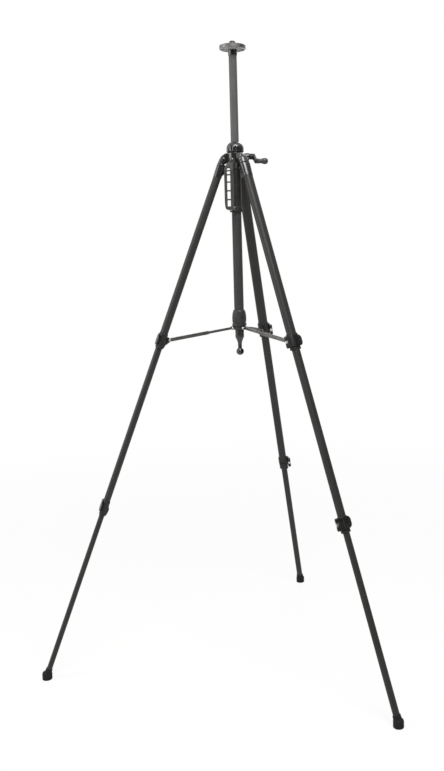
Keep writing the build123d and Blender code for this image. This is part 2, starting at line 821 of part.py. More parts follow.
def make_lock_ring():
    """Fluted ring that screws down over the crown's neck."""
    skirt_foot = (ring_roof[1][0], ring_span[0])
    with BuildPart() as lock_ring:
        with BuildSketch(upright_plane(0)):
            with BuildLine():
                Polyline(
                    skirt_foot,
                    (ring_radius - ring_undercut[0], ring_span[0]),
                    (ring_radius, ring_span[0] + ring_undercut[1]),
                    ring_dome[0],
                )
                TangentArc(*ring_dome, tangent=(0, 1))
                Polyline(
                    ring_dome[1],
                    (ring_bore_radius, ring_span[1]),
                    (ring_bore_radius, ring_roof[0][1]),
                    *ring_roof,
                    skirt_foot,
                )
            make_face()
        revolve(axis=Axis.Z)
        with BuildSketch(floor_plane(ring_flute_start)):
            with PolarLocations(ring_radius + ring_flute_offset, ring_flute_count):
                Circle(ring_flute_radius)
        extrude(amount=ring_span[1] - ring_span[0], mode=Mode.SUBTRACT)
    return lock_ring.part


def make_centre_column():
    """Column tube with a slot down one side for the rack."""
    slot = Plane(origin=(0, 0, level(0)), x_dir=outward(rack_azimuth + 90), z_dir=outward(rack_azimuth))
    with BuildPart() as centre_column:
        with BuildSketch(floor_plane(column_span[0])):
            Circle(column_radius)
            Circle(column_radius - column_wall, mode=Mode.SUBTRACT)
        extrude(amount=column_span[1] - column_span[0])
        with BuildSketch(slot):
            with Locations((0, (rack_span[0] + rack_span[1]) / 2)):
                Rectangle(rack_width + 2 * press_gap, rack_span[1] - rack_span[0] + 2 * press_gap)
        extrude(amount=2 * column_radius, mode=Mode.SUBTRACT)
    return centre_column.part


def tooth_profile():
    """Half thickness of a gear tooth at its root and tip, with their heights from the pitch line."""
    slope = tan(radians(pressure_angle))
    half = tooth_thickness / 2
    return [(half - slope * rise, rise) for rise in (-dedendum * gear_module, gear_module)]


def make_gear_rack():
    """Rack let into the column, with its teeth just inside the column's surface."""
    pitch = pi * gear_module
    first = int((rack_span[0] - pinion_height) / pitch) + 1
    last = int((rack_span[1] - pinion_height) / pitch) - 1
    (root_half, root_rise), (tip_half, tip_rise) = tooth_profile()
    outline = [(rack_back_offset, rack_span[1]), (rack_back_offset, rack_span[0])]
    outline.append((rack_pitch_offset + root_rise, rack_span[0]))
    for index in range(first, last):
        middle = pinion_height + (index + 0.5) * pitch
        outline.append((rack_pitch_offset + root_rise, middle - root_half))
        outline.append((rack_pitch_offset + tip_rise, middle - tip_half))
        outline.append((rack_pitch_offset + tip_rise, middle + tip_half))
        outline.append((rack_pitch_offset + root_rise, middle + root_half))
    outline.append((rack_pitch_offset + root_rise, rack_span[1]))
    with BuildPart() as gear_rack:
        with BuildSketch(upright_plane(rack_azimuth)):
            Polygon(*outline, align=None)
        extrude(amount=rack_width / 2, both=True)
    return gear_rack.part


def make_pinion_shaft():
    """Crank shaft with the pinion cut on it."""
    pitch_radius = gear_module * pinion_teeth / 2
    outline = []
    for tooth in range(pinion_teeth):
        centre = pi + 2 * pi * tooth / pinion_teeth
        flanks = [(-half, rise) for half, rise in tooth_profile()]
        flanks += [(half, rise) for half, rise in reversed(tooth_profile())]
        for half, rise in flanks:
            radius = pitch_radius + rise
            angle = centre + asin(half / radius)
            outline.append((radius * cos(angle), radius * sin(angle)))
    with BuildPart() as pinion_shaft:
        with BuildSketch(shaft_plane(-pinion_width / 2)):
            Polygon(*outline, align=None)
        extrude(amount=pinion_width)
        with BuildSketch(shaft_plane(housing_span[0] + shaft_end_gap)):
            Circle(shaft_radius)
        extrude(amount=shaft_end - housing_span[0] - shaft_end_gap)
    return pinion_shaft.part


def make_shaft_bush():
    """Bush that closes the gear housing and carries the crank shaft."""
    with BuildPart() as shaft_bush:
        with BuildSketch(shaft_plane(bush_start)):
            Circle(pinion_cavity_radius - press_gap)
        extrude(amount=housing_span[1] - bush_start)
        with BuildSketch(shaft_plane(bush_start)):
            Circle(shaft_radius + running_gap)
        extrude(amount=housing_span[1] - bush_start, mode=Mode.SUBTRACT)
    return shaft_bush.part


def crank_end():
    """Centre of the crank's pin in the plane across the shaft."""
    angle = radians(180.0 + crank_drop_angle)
    return crank_throw * cos(angle), crank_throw * sin(angle)


def make_crank_arm():
    """Crank arm with its hub on the shaft and the pin that the knob turns on."""
    end_x, end_y = crank_end()
    with BuildPart() as crank_arm:
        with BuildSketch(shaft_plane(crank_hub_span[0])):
            Circle(crank_hub_radius)
        extrude(amount=crank_hub_span[1] - crank_hub_span[0])
        with BuildSketch(shaft_plane(crank_hub_span[1] - crank_arm_thickness)):
            with Locations((end_x / 2, end_y / 2)):
                SlotCenterToCenter(crank_throw, 2 * crank_end_radius, rotation=crank_drop_angle)
        extrude(amount=crank_arm_thickness)
        rims = crank_arm.faces().sort_by(Axis((0, 0, 0), outward(crank_azimuth)))
        fillet(rims[0].edges() + rims[-1].edges(), radius=crank_round)
        with BuildSketch(shaft_plane(crank_hub_span[1])):
            with Locations((end_x, end_y)):
                Circle(crank_pin_radius)
        extrude(amount=crank_pin_length)
        with BuildSketch(shaft_plane(crank_hub_span[0])):
            Circle(shaft_radius)
        extrude(amount=shaft_end - crank_hub_span[0], mode=Mode.SUBTRACT)
    return crank_arm.part


def make_crank_knob():
    """Waisted grip that turns on the crank's pin."""
    end_x, end_y = crank_end()
    base = shaft_plane(crank_hub_span[1]).from_local_coords((end_x, end_y, 0))
    profile_plane = Plane(origin=base, x_dir=outward(rack_azimuth), z_dir=(0, 0, -1))
    bore = crank_pin_radius + running_gap
    bore_end = crank_pin_length + crank_knob_gap
    bore_start = (bore, crank_knob_gap)
    tip = crank_knob_grip[-1]
    with BuildPart() as crank_knob:
        with BuildSketch(profile_plane):
            with BuildLine():
                Polyline(bore_start, (crank_knob_base_radius, crank_knob_gap), crank_knob_grip[0])
                ThreePointArc(*crank_knob_grip)
                Polyline(tip, (0, tip[1]), (0, bore_end), (bore, bore_end), bore_start)
            make_face()
        revolve(axis=Axis(base, outward(crank_azimuth)))
    return crank_knob.part


def make_column_end_plug():
    """Plug in the column's lower end."""
    with BuildPart() as column_end_plug:
        with BuildSketch(floor_plane(column_span[0] - end_plug_rim[1])):
            Circle(end_plug_rim[0])
        extrude(amount=end_plug_rim[1])
        with BuildSketch(floor_plane(column_span[0])):
            Circle(column_radius - column_wall - press_gap)
        extrude(amount=end_plug_depth)
    return column_end_plug.part


def make_plate_socket():
    """Cup that joins the column's upper end to the plate."""
    top = stand_height - plate_thickness
    bottom = top - plate_socket_height
    with BuildPart() as plate_socket:
        with BuildSketch(floor_plane(bottom)):
            Circle(plate_socket_radius)
        extrude(amount=plate_socket_height)
        fillet(plate_socket.edges().sort_by(Axis.Z)[0], radius=plate_socket_round)
        with BuildSketch(floor_plane(bottom)):
            Circle(column_radius + press_gap)
        extrude(amount=column_span[1] - bottom, mode=Mode.SUBTRACT)
        with BuildSketch(floor_plane(bottom)):
            Circle(stud_shank_radius + press_gap)
        extrude(amount=plate_socket_height, mode=Mode.SUBTRACT)
    return plate_socket.part


def make_top_plate():
    """Round instrument plate, dished underneath and stiffened by radial ribs."""
    with BuildPart() as top_plate:
        with BuildSketch(Plane.XY.offset(-plate_thickness)):
            Circle(plate_radius)
        extrude(amount=plate_thickness)
        chamfer(top_plate.edges(), length=plate_chamfer)
        with BuildSketch(Plane.XY.offset(-plate_thickness)):
            Circle(plate_radius - plate_rim_width)
            Circle(plate_boss_radius, mode=Mode.SUBTRACT)
            with PolarLocations(plate_radius / 2, plate_rib_count):
                Rectangle(plate_radius, plate_rib_width, mode=Mode.SUBTRACT)
        extrude(amount=plate_dish_depth, mode=Mode.SUBTRACT)
        with BuildSketch(Plane.XY.offset(-plate_thickness)):
            Circle(stud_shank_radius + press_gap)
        extrude(amount=plate_thickness, mode=Mode.SUBTRACT)
    return top_plate.part


def make_head_stud():
    """Instrument stud with a shank down through the plate."""
    with BuildPart() as head_stud:
        with BuildSketch(Plane.XY):
            Circle(stud_radius)
        extrude(amount=stud_height)
        chamfer(head_stud.edges().sort_by(Axis.Z)[-1], length=stud_chamfer)
        with BuildSketch(Plane.XY):
            Circle(stud_shank_radius)
        extrude(amount=-stud_shank_length)
    return head_stud.part


parts_folder = "parts"
os.makedirs(parts_folder, exist_ok=True)


def keep(part, name):
    """Label a finished piece and write it out."""
    part.label = name
    export_step(part, f"{parts_folder}/{name}.step")


for leg_name, leg_azimuth in leg_azimuths.items():
    keep(make_hinge_socket(leg_azimuth), f"{leg_name}_hinge_socket")
    keep(make_tube(leg_azimuth, upper_size, upper_span), f"{leg_name}_upper_tube")
    keep(make_collar(leg_azimuth, upper_lock, with_lug=True), f"{leg_name}_upper_collar")
    keep(make_upper_pins(leg_azimuth), f"{leg_name}_upper_pins")
    keep(make_lever(leg_azimuth, upper_lock), f"{leg_name}_upper_lever")
    keep(make_tube(leg_azimuth, middle_size, middle_span), f"{leg_name}_middle_tube")
    keep(make_collar(leg_azimuth, lower_lock, with_lug=False), f"{leg_name}_lower_collar")
    keep(make_lever_pin(leg_azimuth, lower_lock), f"{leg_name}_lower_pin")
    keep(make_lever(leg_azimuth, lower_lock), f"{leg_name}_lower_lever")
    keep(make_tube(leg_azimuth, lower_size, lower_span), f"{leg_name}_lower_tube")
    keep(make_foot(leg_azimuth), f"{leg_name}_foot")
    keep(make_brace_fork(leg_azimuth), f"{leg_name}_brace_fork")
    keep(make_brace_link(leg_azimuth), f"{leg_name}_brace_link")

keep(make_crown(), "crown")
keep(make_hinge_pins(), "leg_hinge_pins")
keep(make_column_guide(), "column_guide")
keep(make_ring(sleeve_radius, sleeve_radius - sleeve_wall, sleeve_span), "column_sleeve")
keep(make_carry_handle(), "carry_handle")
keep(make_handle_screws(), "handle_screws")
keep(make_ballast_hook(), "ballast_hook")
keep(make_clamp_collet(), "clamp_collet")
keep(make_lock_ring(), "column_lock_ring")
keep(make_centre_column(), "centre_column")
keep(make_gear_rack(), "gear_rack")
keep(make_column_end_plug(), "column_end_plug")
keep(make_plate_socket(), "plate_socket")
keep(make_top_plate(), "top_plate")
keep(make_head_stud(), "head_stud")
keep(make_pinion_shaft(), "pinion_shaft")
keep(make_shaft_bush(), "shaft_bush")
keep(make_crank_arm(), "crank_arm")
keep(make_crank_knob(), "crank_knob")
keep(make_spreader_hub(), "spreader_hub")
keep(make_hub_rivets(), "hub_rivets")
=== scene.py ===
# %% [markdown]
# # Dressing an elevating tripod
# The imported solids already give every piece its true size, its place and its joints. This lesson loads
# them, sets up the camera and a plain studio, mixes the finishes, and then models the mouldings that a
# solid leaves plain: rounded collars and levers, fluted grips, a real thread, soft rubber feet.

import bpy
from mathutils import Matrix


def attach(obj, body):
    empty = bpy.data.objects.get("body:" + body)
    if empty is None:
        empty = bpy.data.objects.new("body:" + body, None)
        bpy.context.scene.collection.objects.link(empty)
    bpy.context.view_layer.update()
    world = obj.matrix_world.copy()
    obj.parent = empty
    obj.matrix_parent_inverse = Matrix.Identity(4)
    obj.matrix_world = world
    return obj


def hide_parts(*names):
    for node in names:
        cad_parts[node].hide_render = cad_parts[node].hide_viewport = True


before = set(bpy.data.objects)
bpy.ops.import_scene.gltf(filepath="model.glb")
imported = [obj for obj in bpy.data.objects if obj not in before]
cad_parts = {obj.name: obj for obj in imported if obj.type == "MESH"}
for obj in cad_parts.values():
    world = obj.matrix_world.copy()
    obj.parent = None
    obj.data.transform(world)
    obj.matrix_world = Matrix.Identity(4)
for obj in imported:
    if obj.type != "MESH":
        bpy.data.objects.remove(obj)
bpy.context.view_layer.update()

# %% [markdown]
# Blender works in metres and a maker thinks of this stand in millimetres, so one factor turns one into
# the other. The origin is the middle of the top plate, and heights are easier to read from the floor.
# Each leg has its own axes: x away from its outer face, y across it and z up along it to the hinge.

# %% Units and the axes of the legs
from collections import namedtuple
from math import atan2, cos, pi, radians, sin, sqrt

import bmesh
import bpy
from mathutils import Matrix, Vector

MM = 0.001
UP = Vector((0, 0, 1))
STAND_HEIGHT = 1539.0
LEG_AZIMUTHS = {"back": 90.0, "left": 210.0, "right": 330.0}
LEG_TILT = radians(20.5)
HINGE_RADIUS, HINGE_HEIGHT = 31.0, 1257.0


def shift(x, y, z):
    """Matrix that moves a piece by millimetres."""
    return Matrix.Translation(Vector((x, y, z)) * MM)


def axes(origin, x_axis, y_axis, z_axis):
    """Matrix that carries a piece modelled at the origin to its place."""
    return shift(*origin) @ Matrix((x_axis, y_axis, z_axis)).transposed().to_4x4()


def outward(azimuth):
    """Level unit vector at an azimuth in degrees."""
    return Vector((cos(radians(azimuth)), sin(radians(azimuth)), 0))


def upright(azimuth=0.0, radius=0.0):
    """Axes on the floor: x outward at an azimuth, z up."""
    origin = outward(azimuth) * radius - UP * STAND_HEIGHT
    return axes(origin, outward(azimuth), outward(azimuth + 90), UP)


def leg_axes(azimuth, along=0.0):
    """Axes of a leg at a distance down from its hinge."""
    out = outward(azimuth)
    away = out * cos(LEG_TILT) + UP * sin(LEG_TILT)
    up_leg = UP * cos(LEG_TILT) - out * sin(LEG_TILT)
    hinge = out * HINGE_RADIUS + UP * (HINGE_HEIGHT - STAND_HEIGHT)
    return axes(hinge - up_leg * along, away, outward(azimuth + 90), up_leg)


print("left hinge at", tuple(round(c, 3) for c in leg_axes(LEG_AZIMUTHS["left"]).translation))

# %% [markdown]
# The picture was taken from a little below the crown, about two metres away, and then cropped. A crop
# moves the middle of the picture, which a camera shift repeats. The angles were found by matching the
# legs, the locks and the column with the solids.

# %% Camera
PICTURE_WIDTH, PICTURE_HEIGHT = 444, 771
camera_turn = radians(19.86)
camera_place = Vector((0, -2.2042, 1.0368 - STAND_HEIGHT * MM))
camera_yaw, camera_pitch, camera_roll = radians(2.963), radians(-3.148), radians(-1.29)
focal_pixels = 877.8
middle_pixel = (284.1, 296.2)

forward = Vector((
    sin(camera_yaw) * cos(camera_pitch),
    cos(camera_yaw) * cos(camera_pitch),
    sin(camera_pitch),
))
level_right = Vector((cos(camera_yaw), -sin(camera_yaw), 0))
level_up = level_right.cross(forward)
camera_right = level_right * cos(camera_roll) + level_up * sin(camera_roll)
camera_up = level_up * cos(camera_roll) - level_right * sin(camera_roll)
round_column = Matrix.Rotation(camera_turn, 4, "Z")

camera_data = bpy.data.cameras.new("camera")
camera = bpy.data.objects.new("camera", camera_data)
bpy.context.scene.collection.objects.link(camera)
bpy.context.scene.camera = camera
camera.matrix_world = round_column @ axes(camera_place / MM, camera_right, camera_up, -forward)
camera_data.sensor_width = 36.0
camera_data.lens = focal_pixels * camera_data.sensor_width / PICTURE_HEIGHT
camera_data.shift_x = (PICTURE_WIDTH / 2 - middle_pixel[0]) / PICTURE_HEIGHT
camera_data.shift_y = (middle_pixel[1] - PICTURE_HEIGHT / 2) / PICTURE_HEIGHT
camera_data.clip_end = 100.0
print("lens", round(camera_data.lens, 2))
print("shift", round(camera_data.shift_x, 4), round(camera_data.shift_y, 4))

# %% [markdown]
# The studio is white paper and soft boxes. Light Path lets the camera, mirrors and glass see a white
# world, while the light that falls on the tripod stays at a plain level. The floor is pale too, and it
# keeps a faint shadow because only part of its white comes from the same trick. Farther out that part
# grows to the whole, so that the floor meets the world without a line.

# %% Studio: world
bpy.context.scene.view_settings.view_transform = "Standard"
AMBIENT_LEVEL = 0.34
PAPER_WHITE, ROOM_TINT = (1, 1, 1, 1), (1.0, 0.985, 0.965, 1)


def set_inputs(node, values):
    """Set some inputs of a node by their names."""
    for socket, value in values.items():
        node.inputs[socket].default_value = value


def add_math(tree, operation, first, second):
    """Math node on two sockets."""
    node = tree.nodes.new("ShaderNodeMath")
    node.operation = operation
    tree.links.new(first, node.inputs[0])
    tree.links.new(second, node.inputs[1])
    return node.outputs[0]


def seen_directly(tree):
    """Factor that is 1 for camera, glossy and transmission rays."""
    rays = tree.nodes.new("ShaderNodeLightPath").outputs
    mirrored = add_math(tree, "MAXIMUM", rays["Is Camera Ray"], rays["Is Glossy Ray"])
    return add_math(tree, "MAXIMUM", mirrored, rays["Is Transmission Ray"])


def add_choice(tree, factor, usual, white, output):
    """Mix a usual shader with a white one by a factor and show the mix at an output node."""
    choice = tree.nodes.new("ShaderNodeMixShader")
    tree.links.new(factor, choice.inputs[0])
    tree.links.new(usual.outputs[0], choice.inputs[1])
    tree.links.new(white.outputs[0], choice.inputs[2])
    tree.links.new(choice.outputs[0], tree.nodes[output].inputs["Surface"])


world = bpy.data.worlds.new("studio")
bpy.context.scene.world = world
world.use_nodes = True
tree = world.node_tree
paper = tree.nodes["Background"]
set_inputs(paper, {"Color": PAPER_WHITE, "Strength": 1.0})
room = tree.nodes.new("ShaderNodeBackground")
set_inputs(room, {"Color": ROOM_TINT, "Strength": AMBIENT_LEVEL})
add_choice(tree, seen_directly(tree), room, paper, "World Output")
print("world lights at", AMBIENT_LEVEL)

# %% Studio: floor
FLOOR_SIZE = 60.0
FLOOR_TINT = (0.86, 0.86, 0.855, 1)
FLOOR_WHITE_SHARE = 0.86
FLOOR_FADE = (1.0, 2.6)


def add_range(tree, value, low, high, to_low=0.0, to_high=1.0):
    """Map a value from one range to another, with the ends held."""
    spread = tree.nodes.new("ShaderNodeMapRange")
    set_inputs(spread, {"From Min": low, "From Max": high, "To Min": to_low, "To Max": to_high})
    tree.links.new(value, spread.inputs["Value"])
    return spread.outputs["Result"]


bpy.ops.object.select_all(action="DESELECT")
bpy.ops.mesh.primitive_plane_add(size=FLOOR_SIZE, location=(0, 0, -STAND_HEIGHT * MM))
floor = bpy.context.object
floor.name = "floor"
floor_paint = bpy.data.materials.new("floor_paper")
floor_paint.use_nodes = True
tree = floor_paint.node_tree
matte = tree.nodes["Principled BSDF"]
set_inputs(matte, {"Base Color": FLOOR_TINT, "Roughness": 0.9, "Specular IOR Level": 0.1})
place = tree.nodes.new("ShaderNodeTexCoord")
distance = tree.nodes.new("ShaderNodeVectorMath")
distance.operation = "LENGTH"
tree.links.new(place.outputs["Object"], distance.inputs[0])
fade = add_range(tree, distance.outputs["Value"], *FLOOR_FADE, FLOOR_WHITE_SHARE, 1.0)
share = add_math(tree, "MULTIPLY", seen_directly(tree), fade)
add_choice(tree, share, matte, tree.nodes.new("ShaderNodeEmission"), "Material Output")
floor.data.materials.append(floor_paint)
print("floor at", round(floor.location.z, 3))

# %% [markdown]
# A studio is dark behind the camera, and black mouldings need that darkness to look black. A large panel
# stands there and a smaller one on the right. Only reflections see them, so they take no light away.

# %% Studio: dark panels
FELT_BLACK = (0.03, 0.03, 0.03, 1)
# azimuth in degrees; distance from the column, width and height in metres
PANELS = {"dark_front": (290.0, 4.5, 9.0, 7.0), "dark_right": (15.0, 4.0, 4.4, 5.0)}
panel_felt = bpy.data.materials.new("panel_felt")
panel_felt.use_nodes = True
felt = panel_felt.node_tree.nodes["Principled BSDF"]
set_inputs(felt, {"Base Color": FELT_BLACK, "Roughness": 1.0})


def dark_panel(name, azimuth, distance, width, height):
    """Upright felt panel that only reflections see."""
    bpy.ops.object.select_all(action="DESELECT")
    bpy.ops.mesh.primitive_plane_add(size=1.0)
    panel = bpy.context.object
    panel.name = name
    for vertex in panel.data.vertices:
        across, up = vertex.co.x * width, vertex.co.y * height
        vertex.co = outward(azimuth) * distance + outward(azimuth + 90) * across + UP * up
    panel.data.materials.append(panel_felt)
    panel.visible_camera = panel.visible_diffuse = False
    panel.visible_shadow = panel.visible_transmission = False
    return panel


panels = [dark_panel(name, *values) for name, values in PANELS.items()]
print("dark panels", [panel.name for panel in panels])

# %% [markdown]
# A wide soft box hangs above the camera, a little to its right, and gives the bright spots on the
# shoulders. A weaker one fills the left, and a third hangs behind to lift the tops of the black mouldings.

# %% Studio: soft boxes
LAMP_AIM = Vector((0, 0, -0.55))
# azimuth in degrees; distance from the column, height, width and depth in metres; watts
SOFT_BOXES = {
    "key_box": (302.0, 1.9, 3.2, 2.1, 1.2, 100.0),
    "fill_box": (215.0, 3.0, 1.8, 1.6, 1.6, 34.0),
    "back_box": (100.0, 2.6, 2.9, 1.4, 1.4, 26.0),
}


def soft_box(name, azimuth, distance, height, width, depth, watts):
    """Flat lamp aimed at the upper half of the stand."""
    data = bpy.data.lights.new(name, "AREA")
    data.shape = "RECTANGLE"
    data.size = width
    data.size_y = depth
    data.energy = watts
    lamp = bpy.data.objects.new(name, data)
    bpy.context.scene.collection.objects.link(lamp)
    lamp.location = outward(azimuth) * distance + UP * (height - STAND_HEIGHT * MM)
    lamp.rotation_euler = (LAMP_AIM - lamp.location).to_track_quat("-Z", "Y").to_euler()
    return lamp


lamps = [soft_box(name, *values) for name, values in SOFT_BOXES.items()]
print("soft boxes", [lamp.name for lamp in lamps])

# %% [markdown]
# Three effects come back in several finishes, so each is built once as a node group. Moulding grain is
# the fine skin of moulded plastic, with a slow change of tone that keeps a large face from looking flat.
# Draw lines run along extruded tube, and rubbed edges follow a rim value that each modelled piece carries.

# %% Shared effects
NOISE_ROUGHNESS = 0.55
FINE_RANGE, SLOW_RANGE = (0.3, 0.7), (0.35, 0.65)
TONE_SCALE, BAND_SCALE = 46.0, 17.0
LINE_STRETCH = 0.006
RIM_RANGE, PATCH_RANGE = (0.16, 0.5), (0.42, 0.7)


def new_group(name, values, outputs):
    """Shader group with a Vector input, float inputs with their usual values, and float outputs."""
    group = bpy.data.node_groups.new(name, "ShaderNodeTree")
    group.interface.new_socket("Vector", in_out="INPUT", socket_type="NodeSocketVector")
    for socket, value in values.items():
        made = group.interface.new_socket(socket, in_out="INPUT", socket_type="NodeSocketFloat")
        made.default_value = value
    for socket in outputs:
        group.interface.new_socket(socket, in_out="OUTPUT", socket_type="NodeSocketFloat")
    given, result = group.nodes.new("NodeGroupInput"), group.nodes.new("NodeGroupOutput")
    return group, given.outputs, result.inputs


def add_noise(group, vector, scale, detail):
    """Noise texture on a vector; scale is a number or a socket."""
    noise = group.nodes.new("ShaderNodeTexNoise")
    set_inputs(noise, {"Detail": detail, "Roughness": NOISE_ROUGHNESS})
    group.links.new(vector, noise.inputs["Vector"])
    if isinstance(scale, float):
        noise.inputs["Scale"].default_value = scale
    else:
        group.links.new(scale, noise.inputs["Scale"])
    return noise.outputs["Fac"]


grain_group, given, result = new_group("moulding_grain", {"Scale": 2500.0}, ["Height", "Tone"])
fine = add_noise(grain_group, given["Vector"], given["Scale"], detail=3.0)
slow = add_noise(grain_group, given["Vector"], TONE_SCALE, detail=4.0)
grain_group.links.new(add_range(grain_group, fine, *FINE_RANGE), result["Height"])
grain_group.links.new(add_range(grain_group, slow, *SLOW_RANGE), result["Tone"])

lines_group, given, result = new_group("draw_lines", {"Density": 1400.0}, ["Lines", "Tone"])
stretch = lines_group.nodes.new("ShaderNodeVectorMath")
stretch.operation = "MULTIPLY"
stretch.inputs[1].default_value = (1.0, 1.0, LINE_STRETCH)
lines_group.links.new(given["Vector"], stretch.inputs[0])
drawn = add_noise(lines_group, stretch.outputs["Vector"], given["Density"], detail=2.0)
bands = add_noise(lines_group, given["Vector"], BAND_SCALE, detail=3.0)
lines_group.links.new(add_range(lines_group, drawn, *FINE_RANGE), result["Lines"])
lines_group.links.new(add_range(lines_group, bands, *SLOW_RANGE), result["Tone"])

wear_group, given, result = new_group("rubbed_edges", {"Rim": 0.0, "Scale": 420.0}, ["Mask"])
patches = add_noise(wear_group, given["Vector"], given["Scale"], detail=5.0)
edge = add_range(wear_group, given["Rim"], *RIM_RANGE)
mask = add_math(wear_group, "MULTIPLY", edge, add_range(wear_group, patches, *PATCH_RANGE))
wear_group.links.new(mask, result["Mask"])
print("node groups", len(bpy.data.node_groups))

# %% [markdown]
# Every finish is a Principled surface whose colour, roughness and bump vary over the piece. The moulded
# plastics differ in gloss and grain; the tubes are coated metal whose draw lines show through, so each
# leg turns the pattern to its own direction; the small hardware is plated steel.

# %% How a finish is built
COAT_ROUGHNESS = 0.18
LINE_GAIN = 1.22


class Finish:
    """A Principled material under construction, with a vector turned to the piece."""

    def __init__(self, name, turned=None):
        self.material = bpy.data.materials.new(name)
        self.material.use_nodes = True
        self.tree = self.material.node_tree
        self.shader = self.tree.nodes["Principled BSDF"]
        place = self.tree.nodes.new("ShaderNodeTexCoord")
        turner = self.tree.nodes.new("ShaderNodeMapping")
        turner.vector_type = "TEXTURE"
        if turned is not None:
            turner.inputs["Rotation"].default_value = turned.to_euler()
        self.tree.links.new(place.outputs["Object"], turner.inputs["Vector"])
        self.vector = turner.outputs["Vector"]

    def group(self, group, **values):
        """Place a shared effect with its own values."""
        node = self.tree.nodes.new("ShaderNodeGroup")
        node.node_tree = group
        self.tree.links.new(self.vector, node.inputs["Vector"])
        set_inputs(node, values)
        return node

    def worn_edges(self):
        """Mask of the rubbed edges, from the piece's own rim value."""
        node = self.group(wear_group)
        attribute = self.tree.nodes.new("ShaderNodeAttribute")
        attribute.attribute_name = "rim"
        self.tree.links.new(attribute.outputs["Fac"], node.inputs["Rim"])
        return node.outputs["Mask"]

    def blend(self, factor, low, high):
        """Colour between two colours."""
        mix = self.tree.nodes.new("ShaderNodeMix")
        mix.data_type = "RGBA"
        self.tree.links.new(factor, mix.inputs["Factor"])
        for socket, colour in (("A", low), ("B", high)):
            target = next(s for s in mix.inputs if s.name == socket and s.type == "RGBA")
            if isinstance(colour, tuple):
                target.default_value = (*colour, 1.0)
            else:
                self.tree.links.new(colour, target)
        return next(s for s in mix.outputs if s.type == "RGBA")

    def surface(self, colour, factor, roughness):
        """Link a colour, and a roughness that goes from one value to another with a factor."""
        self.tree.links.new(colour, self.shader.inputs["Base Color"])
        spread = add_range(self.tree, factor, 0.0, 1.0, *roughness)
        self.tree.links.new(spread, self.shader.inputs["Roughness"])

    def bump(self, height, depth, strength):
        """Bump of a depth in metres."""
        node = self.tree.nodes.new("ShaderNodeBump")
        set_inputs(node, {"Strength": strength, "Distance": depth})
        self.tree.links.new(height, node.inputs["Height"])
        self.tree.links.new(node.outputs["Normal"], self.shader.inputs["Normal"])


def moulded(name, dark, pale, worn, roughness, grain, depth, specular, coat=0.0):
    """Moulded plastic or rubber: grain, slow tone and rubbed edges."""
    finish = Finish(name)
    skin = finish.group(grain_group, Scale=grain)
    toned = finish.blend(skin.outputs["Tone"], dark, pale)
    colour = finish.blend(finish.worn_edges(), toned, worn)
    finish.surface(colour, skin.outputs["Tone"], roughness)
    finish.bump(skin.outputs["Height"], depth, strength=0.35)
    gloss = {"Specular IOR Level": specular, "Coat Weight": coat, "Coat Roughness": COAT_ROUGHNESS}
    set_inputs(finish.shader, gloss)
    return finish.material


def drawn_tube(name, dark, pale, roughness, specular, turned=None):
    """Extruded and coated tube: draw lines along it and slow bands of tone."""
    finish = Finish(name, turned)
    lines = finish.group(lines_group)
    toned = finish.blend(lines.outputs["Tone"], dark, pale)
    brighter = tuple(LINE_GAIN * c for c in pale)
    lined = finish.blend(lines.outputs["Lines"], toned, brighter)
    finish.surface(lined, lines.outputs["Lines"], roughness)
    finish.bump(lines.outputs["Lines"], depth=0.00004, strength=0.25)
    set_inputs(finish.shader, {"Specular IOR Level": specular})
    return finish.material


def plated(name, dark, pale, roughness, grain, metallic=1.0):
    """Plated or cast metal with a fine broken grain."""
    finish = Finish(name)
    skin = finish.group(grain_group, Scale=grain)
    toned = finish.blend(skin.outputs["Tone"], dark, pale)
    finish.surface(toned, skin.outputs["Height"], roughness)
    finish.bump(skin.outputs["Height"], depth=0.00003, strength=0.3)
    set_inputs(finish.shader, {"Metallic": metallic})
    return finish.material


print("finishes mix", [group.name for group in (grain_group, lines_group, wear_group)])

# %% Finishes of the mouldings
black_gloss = moulded(
    "black_gloss", dark=(0.008, 0.008, 0.008), pale=(0.014, 0.014, 0.013), worn=(0.04, 0.04, 0.038),
    roughness=(0.2, 0.3), grain=1800.0, depth=0.00002, specular=0.6, coat=0.3,
)
black_matte = moulded(
    "black_matte", dark=(0.015, 0.015, 0.0148), pale=(0.022, 0.022, 0.021), worn=(0.035, 0.035, 0.033),
    roughness=(0.42, 0.56), grain=2600.0, depth=0.00005, specular=0.25,
)
lever_grey = moulded(
    "lever_grey", dark=(0.007, 0.007, 0.0068), pale=(0.012, 0.0118, 0.0114), worn=(0.05, 0.049, 0.047),
    roughness=(0.26, 0.38), grain=2400.0, depth=0.00003, specular=0.4,
)
hub_grey = moulded(
    "hub_grey", dark=(0.023, 0.023, 0.0225), pale=(0.031, 0.0305, 0.0295), worn=(0.06, 0.059, 0.056),
    roughness=(0.36, 0.5), grain=2200.0, depth=0.00004, specular=0.35,
)
handle_grey = moulded(
    "handle_grey", dark=(0.031, 0.0305, 0.0295), pale=(0.042, 0.0415, 0.04), worn=(0.075, 0.073, 0.07),
    roughness=(0.34, 0.46), grain=2000.0, depth=0.00003, specular=0.4,
)
foot_rubber = moulded(
    "foot_rubber", dark=(0.008, 0.008, 0.008), pale=(0.014, 0.0135, 0.013), worn=(0.028, 0.027, 0.025),
    roughness=(0.66, 0.85), grain=1500.0, depth=0.00008, specular=0.2,
)
rack_nylon = moulded(
    "rack_nylon", dark=(0.62, 0.61, 0.58), pale=(0.72, 0.71, 0.68), worn=(0.8, 0.79, 0.77),
    roughness=(0.42, 0.55), grain=1600.0, depth=0.00003, specular=0.4,
)
print("mouldings from", black_gloss.name, "to", rack_nylon.name)

